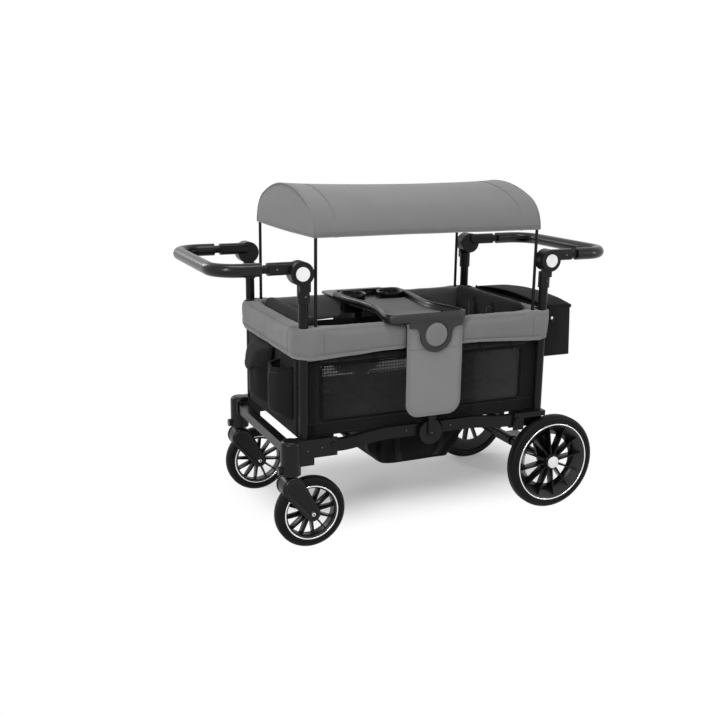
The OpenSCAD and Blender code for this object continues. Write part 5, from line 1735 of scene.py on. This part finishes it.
# %% Tray outlines
TRAY_SHIFT, TRAY_NEAR, TRAY_FAR, TRAY_CORNER, TONGUE_END = -0.027, -0.3069, 0.182, 0.030, 0.3000
TRAY_LOW, TRAY_TOP, SKIRT_X, RING_OUT, RING_HOLE, SHOULDER = 0.6947, 0.7017, 0.092, 0.056, 0.0402, 0.0241
CUP_X, CUP_Y, CUP_HOLE = 0.0715, 0.124, 0.0405
ROUNDING = [math.pi / 2 * k / 10 for k in range(11)]


def tray_half(y):
    return 0.104 + 0.035 * eased(-y, 0.110, 0.300) + 0.024 * eased(y, -0.110, 0.110)


def tray_outline(inset, near, far, corner):
    """An outline of the tray as (x, y), with its four corners rounded."""
    low, high = near + corner, far - corner
    x = tray_half(low) - inset - corner
    side = [(x + corner * math.sin(a), low - corner * math.cos(a)) for a in ROUNDING]
    side += [(tray_half(y) - inset, y) for y in (low + (high - low) * i / 40 for i in range(1, 40))]
    x = tray_half(high) - inset - corner
    side += [(x + corner * math.cos(a), high + corner * math.sin(a)) for a in ROUNDING]
    return [(x + TRAY_SHIFT, y) for x, y in side + [(-x, y) for x, y in side[::-1]]]


def circle_outline(x, y, r, steps=64):
    return [(x + r * math.cos(2 * math.pi * k / steps), y + r * math.sin(2 * math.pi * k / steps))
            for k in range(steps)]


def end_plate_outline():
    """Half of an end plate as (x, height above the ring's centre), then mirrored."""
    rise, turn = TRAY_TOP - 0.001 - RIM_Z, RING_OUT + SHOULDER
    half_line = [(SKIRT_X, rise), (SKIRT_X, SHOULDER)]
    half_line += [(turn - SHOULDER * math.sin(a), SHOULDER * math.cos(a)) for a in ROUNDING]
    half_line += [(RING_OUT * math.cos(a), -RING_OUT * math.sin(a)) for a in ROUNDING[1:]]
    return half_line + [(-x, z) for x, z in half_line[-2::-1]]


print("tray outline:", len(tray_outline(0.0, TRAY_NEAR, TRAY_FAR, TRAY_CORNER)), "points")

# %% [markdown]
# ## Tray plate, lip and cups
# The plate is cut from its outline, the lip is swept round it and the cups are turned. Three plain
# tools give cleaner edges here than one sculpted mesh.


# %% Tray plate, lip and cups
def flat_plate(name, outlines, low, high, edge, material):
    """A plate cut from flat outlines, the first one outside and the others holes, with rounded edges."""
    curve = bpy.data.curves.new(name, "CURVE")
    curve.dimensions, curve.fill_mode = "2D", "BOTH"
    curve.extrude, curve.bevel_depth, curve.bevel_resolution, curve.offset = (high
            - low) / 2 - edge, edge, 2, -edge
    for line in outlines:
        spline = curve.splines.new("POLY")
        spline.points.add(len(line) - 1)
        spline.use_cyclic_u = True
        for point, (x, y) in zip(spline.points, line):
            point.co = (x, y, 0, 1)
    shape = bpy.data.objects.new(name, curve)
    scene.collection.objects.link(shape)
    mesh = bpy.data.meshes.new_from_object(shape.evaluated_get(bpy.context.evaluated_depsgraph_get()))
    bpy.data.objects.remove(shape)
    mesh.transform(Matrix.Translation((0, 0, (low + high) / 2)))
    mesh.materials.clear()
    return outwards(put(name, mesh, material))


TRAY_LIP = [(0.0, 0.6950), (0.0022, 0.6990), (0.0026, 0.7080), (0.0018, 0.7150), (-0.0008, 0.7194),
        (-0.0042, 0.7210), (-0.0084, 0.7204), (-0.0116, 0.7176), (-0.0136, 0.7120), (-0.0150, 0.7060),
        (-0.0176, 0.7022), (-0.0176, 0.6960), (-0.0080, 0.6940)]
CUP = [(0.0, 0.6557), (0.0395, 0.6557), (0.0418, 0.6577), (0.0420, 0.6990), (0.0455, 0.7020),
        (0.0470, 0.7090), (0.0472, 0.7150), (0.0462, 0.7185), (0.0440, 0.7203), (0.0415, 0.7200),
        (0.0398, 0.7180), (0.0391, 0.7140), (0.0390, 0.6610), (0.0370, 0.6587), (0.0, 0.6587)]


def tray_lip():
    line = tray_outline(0.0, TRAY_NEAR, TRAY_FAR, TRAY_CORNER)
    rows = []
    for i, (x, y) in enumerate(line):
        a, b = line[i - 1], line[(i + 1) % len(line)]
        run = Vector((b[0] - a[0], b[1] - a[1], 0)).normalized()
        out = Vector((run.y, -run.x, 0))
        rows.append([Vector((x, y, z)) + out * o for o, z in TRAY_LIP])
    lip = outwards(panel("tray_lip", rows, tray_black, closed=True, around=True))
    lip.data.materials.append(tray_grey)
    for face in lip.data.polygons:
        face.material_index = 1 if face.center.y < TRAY_NEAR + 0.008 else 0
    return lip


cup_spots = [(TRAY_SHIFT - CUP_X, CUP_Y), (TRAY_SHIFT + CUP_X, CUP_Y)]
plate_lines = [tray_outline(0.006, TRAY_NEAR + 0.006, TONGUE_END, 0.024)]
plate_lines += [circle_outline(x, y, CUP_HOLE) for x, y in cup_spots]
tray_parts = [flat_plate("tray_plate", plate_lines, TRAY_LOW, TRAY_TOP, 0.001, tray_black), tray_lip()]
for x, y in cup_spots:
    cup = lathe("cup", CUP, tray_black, steps=72, loop=False)
    cup.data.transform(Matrix.Translation((x, y, 0)))
    tray_parts.append(cup)
for side in (-1, 1):
    hole = circle_outline(0, 0, RING_HOLE, 96)
    end_plate = flat_plate("tray_end", [end_plate_outline(), hole], -0.00375, 0.00375, 0.0016, tray_grey)
    stand = Matrix.Translation((0, side * 0.30315, RIM_Z)) @ Matrix.Rotation(math.pi / 2, 4, "X")
    end_plate.data.transform(stand)
    tray_parts.append(end_plate)
tray_made = merge("tray_made", tray_parts)
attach(tray_made, "snack_tray")
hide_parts("tray")
print("tray", len(tray_made.data.polygons), "faces")

# %% [markdown]
# ## Release buttons
# The round buttons on the tray ends are low domes in a groove. A turned profile keeps the sharp
# edge of the groove, which a smoothed disc would lose.

# %% Release buttons
BUTTON_DOME = [(0.0, 0.3030), (0.0395, 0.3030), (0.0395, 0.3042), (0.0368, 0.3044), (0.0368, 0.3078),
        (0.0362, 0.3092), (0.0345, 0.3101), (0.0290, 0.3111), (0.0200, 0.3119), (0.0100, 0.3123),
        (0.0, 0.3124)]
for side, word, letter in ((-1, "left", "l"), (1, "right", "r")):
    button = lathe(f"release_button_{word}", BUTTON_DOME, grey_moulded, steps=96, loop=False)
    button.data.transform(Matrix.Translation((0, 0, RIM_Z)) @ Matrix.Rotation(-side * math.pi / 2, 4, "X"))
    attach(button, f"tray_release_{letter}")
    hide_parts(f"tray_button_{word}")
print("release buttons: 2")

# %% [markdown]
# ## Screws
# Small bright screws hold the brackets, rails, hinge discs and handle sleeves. One node tree sets
# a screw head on each point of a list, facing along a given turn.


# %% Screw tree
def build_screws():
    tree, start, end = shape_tree("screw_heads",
            [("Radius", FLOAT, 0.003), ("Height", FLOAT, 0.0014), ("Socket share", FLOAT, 0.45),
            ("Turn", VECTOR, None), ("Material", "NodeSocketMaterial", None)])
    head = tree.nodes.new("GeometryNodeMeshCone")
    head.inputs["Vertices"].default_value = 24
    crown = calc(tree, "MULTIPLY", start.outputs["Radius"], 0.78)
    join(tree, start.outputs["Radius"], head.inputs["Radius Bottom"])
    join(tree, crown, head.inputs["Radius Top"])
    join(tree, start.outputs["Height"], head.inputs["Depth"])
    hole = tree.nodes.new("GeometryNodeMeshCylinder")
    hole.inputs["Vertices"].default_value = 6
    join(tree, calc(tree, "MULTIPLY", start.outputs["Radius"], start.outputs["Socket share"]),
            hole.inputs["Radius"])
    join(tree, start.outputs["Height"], hole.inputs["Depth"])
    lift = tree.nodes.new("ShaderNodeCombineXYZ")
    join(tree, calc(tree, "MULTIPLY", start.outputs["Height"], 0.95), lift.inputs[2])
    raised = tree.nodes.new("GeometryNodeTransform")
    join(tree, hole.outputs["Mesh"], raised.inputs["Geometry"])
    join(tree, lift.outputs[0], raised.inputs["Translation"])
    cut = add(tree, "GeometryNodeMeshBoolean", operation="DIFFERENCE")
    join(tree, head.outputs["Mesh"], cut.inputs[0])
    join(tree, raised.outputs[0], cut.inputs[1])
    spots = tree.nodes.new("GeometryNodeMeshToPoints")
    place = tree.nodes.new("GeometryNodeInstanceOnPoints")
    join(tree, start.outputs["Geometry"], spots.inputs[0])
    join(tree, spots.outputs[0], place.inputs["Points"])
    join(tree, cut.outputs[0], place.inputs["Instance"])
    join(tree, start.outputs["Turn"], place.inputs["Rotation"])
    real = tree.nodes.new("GeometryNodeRealizeInstances")
    paint = tree.nodes.new("GeometryNodeSetMaterial")
    join(tree, place.outputs[0], real.inputs[0])
    join(tree, real.outputs[0], paint.inputs["Geometry"])
    join(tree, start.outputs["Material"], paint.inputs["Material"])
    join(tree, paint.outputs[0], end.inputs[0])
    return tree


SCREWS = build_screws()
QUARTER = math.pi / 2
SCREW_SETS = [
    ("front_frame", 0.2815, [(-0.418, 0.316), (-0.372, 0.322)], 0.0025),
    ("front_floor", 0.2720, [(-0.080, 0.338)], 0.0025),
    ("rear_floor", 0.2720, [(0.080, 0.338)], 0.0025),
    ("centre", 0.2950, [(0.0, 0.328)], 0.0025),
    ("front_frame", 0.2760, [(-0.423, 0.790)], 0.0028),
    ("rear_frame", 0.2760, [(0.423, 0.790)], 0.0028),
    ("front_handle", 0.2617, [(-0.505, 0.872)], 0.0030),
    ("rear_handle", 0.2617, [(0.505, 0.872)], 0.0030),
]
count = 0
for number, (body, y, spots, radius) in enumerate(SCREW_SETS):
    heads = []
    for side in (-1, 1):
        mesh = bpy.data.meshes.new("screw_spots")
        mesh.from_pydata([(x, side * (y + 0.0006), z) for x, z in spots], [], [])
        heads.append(grow(put("screws", mesh, None), SCREWS, Radius=radius, Turn=(-side * QUARTER, 0, 0),
                Material=screw_steel))
        count += len(spots)
    screws = merge(f"screws_{number}_{body}", heads)
    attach(screws, body)
print("screws:", count)
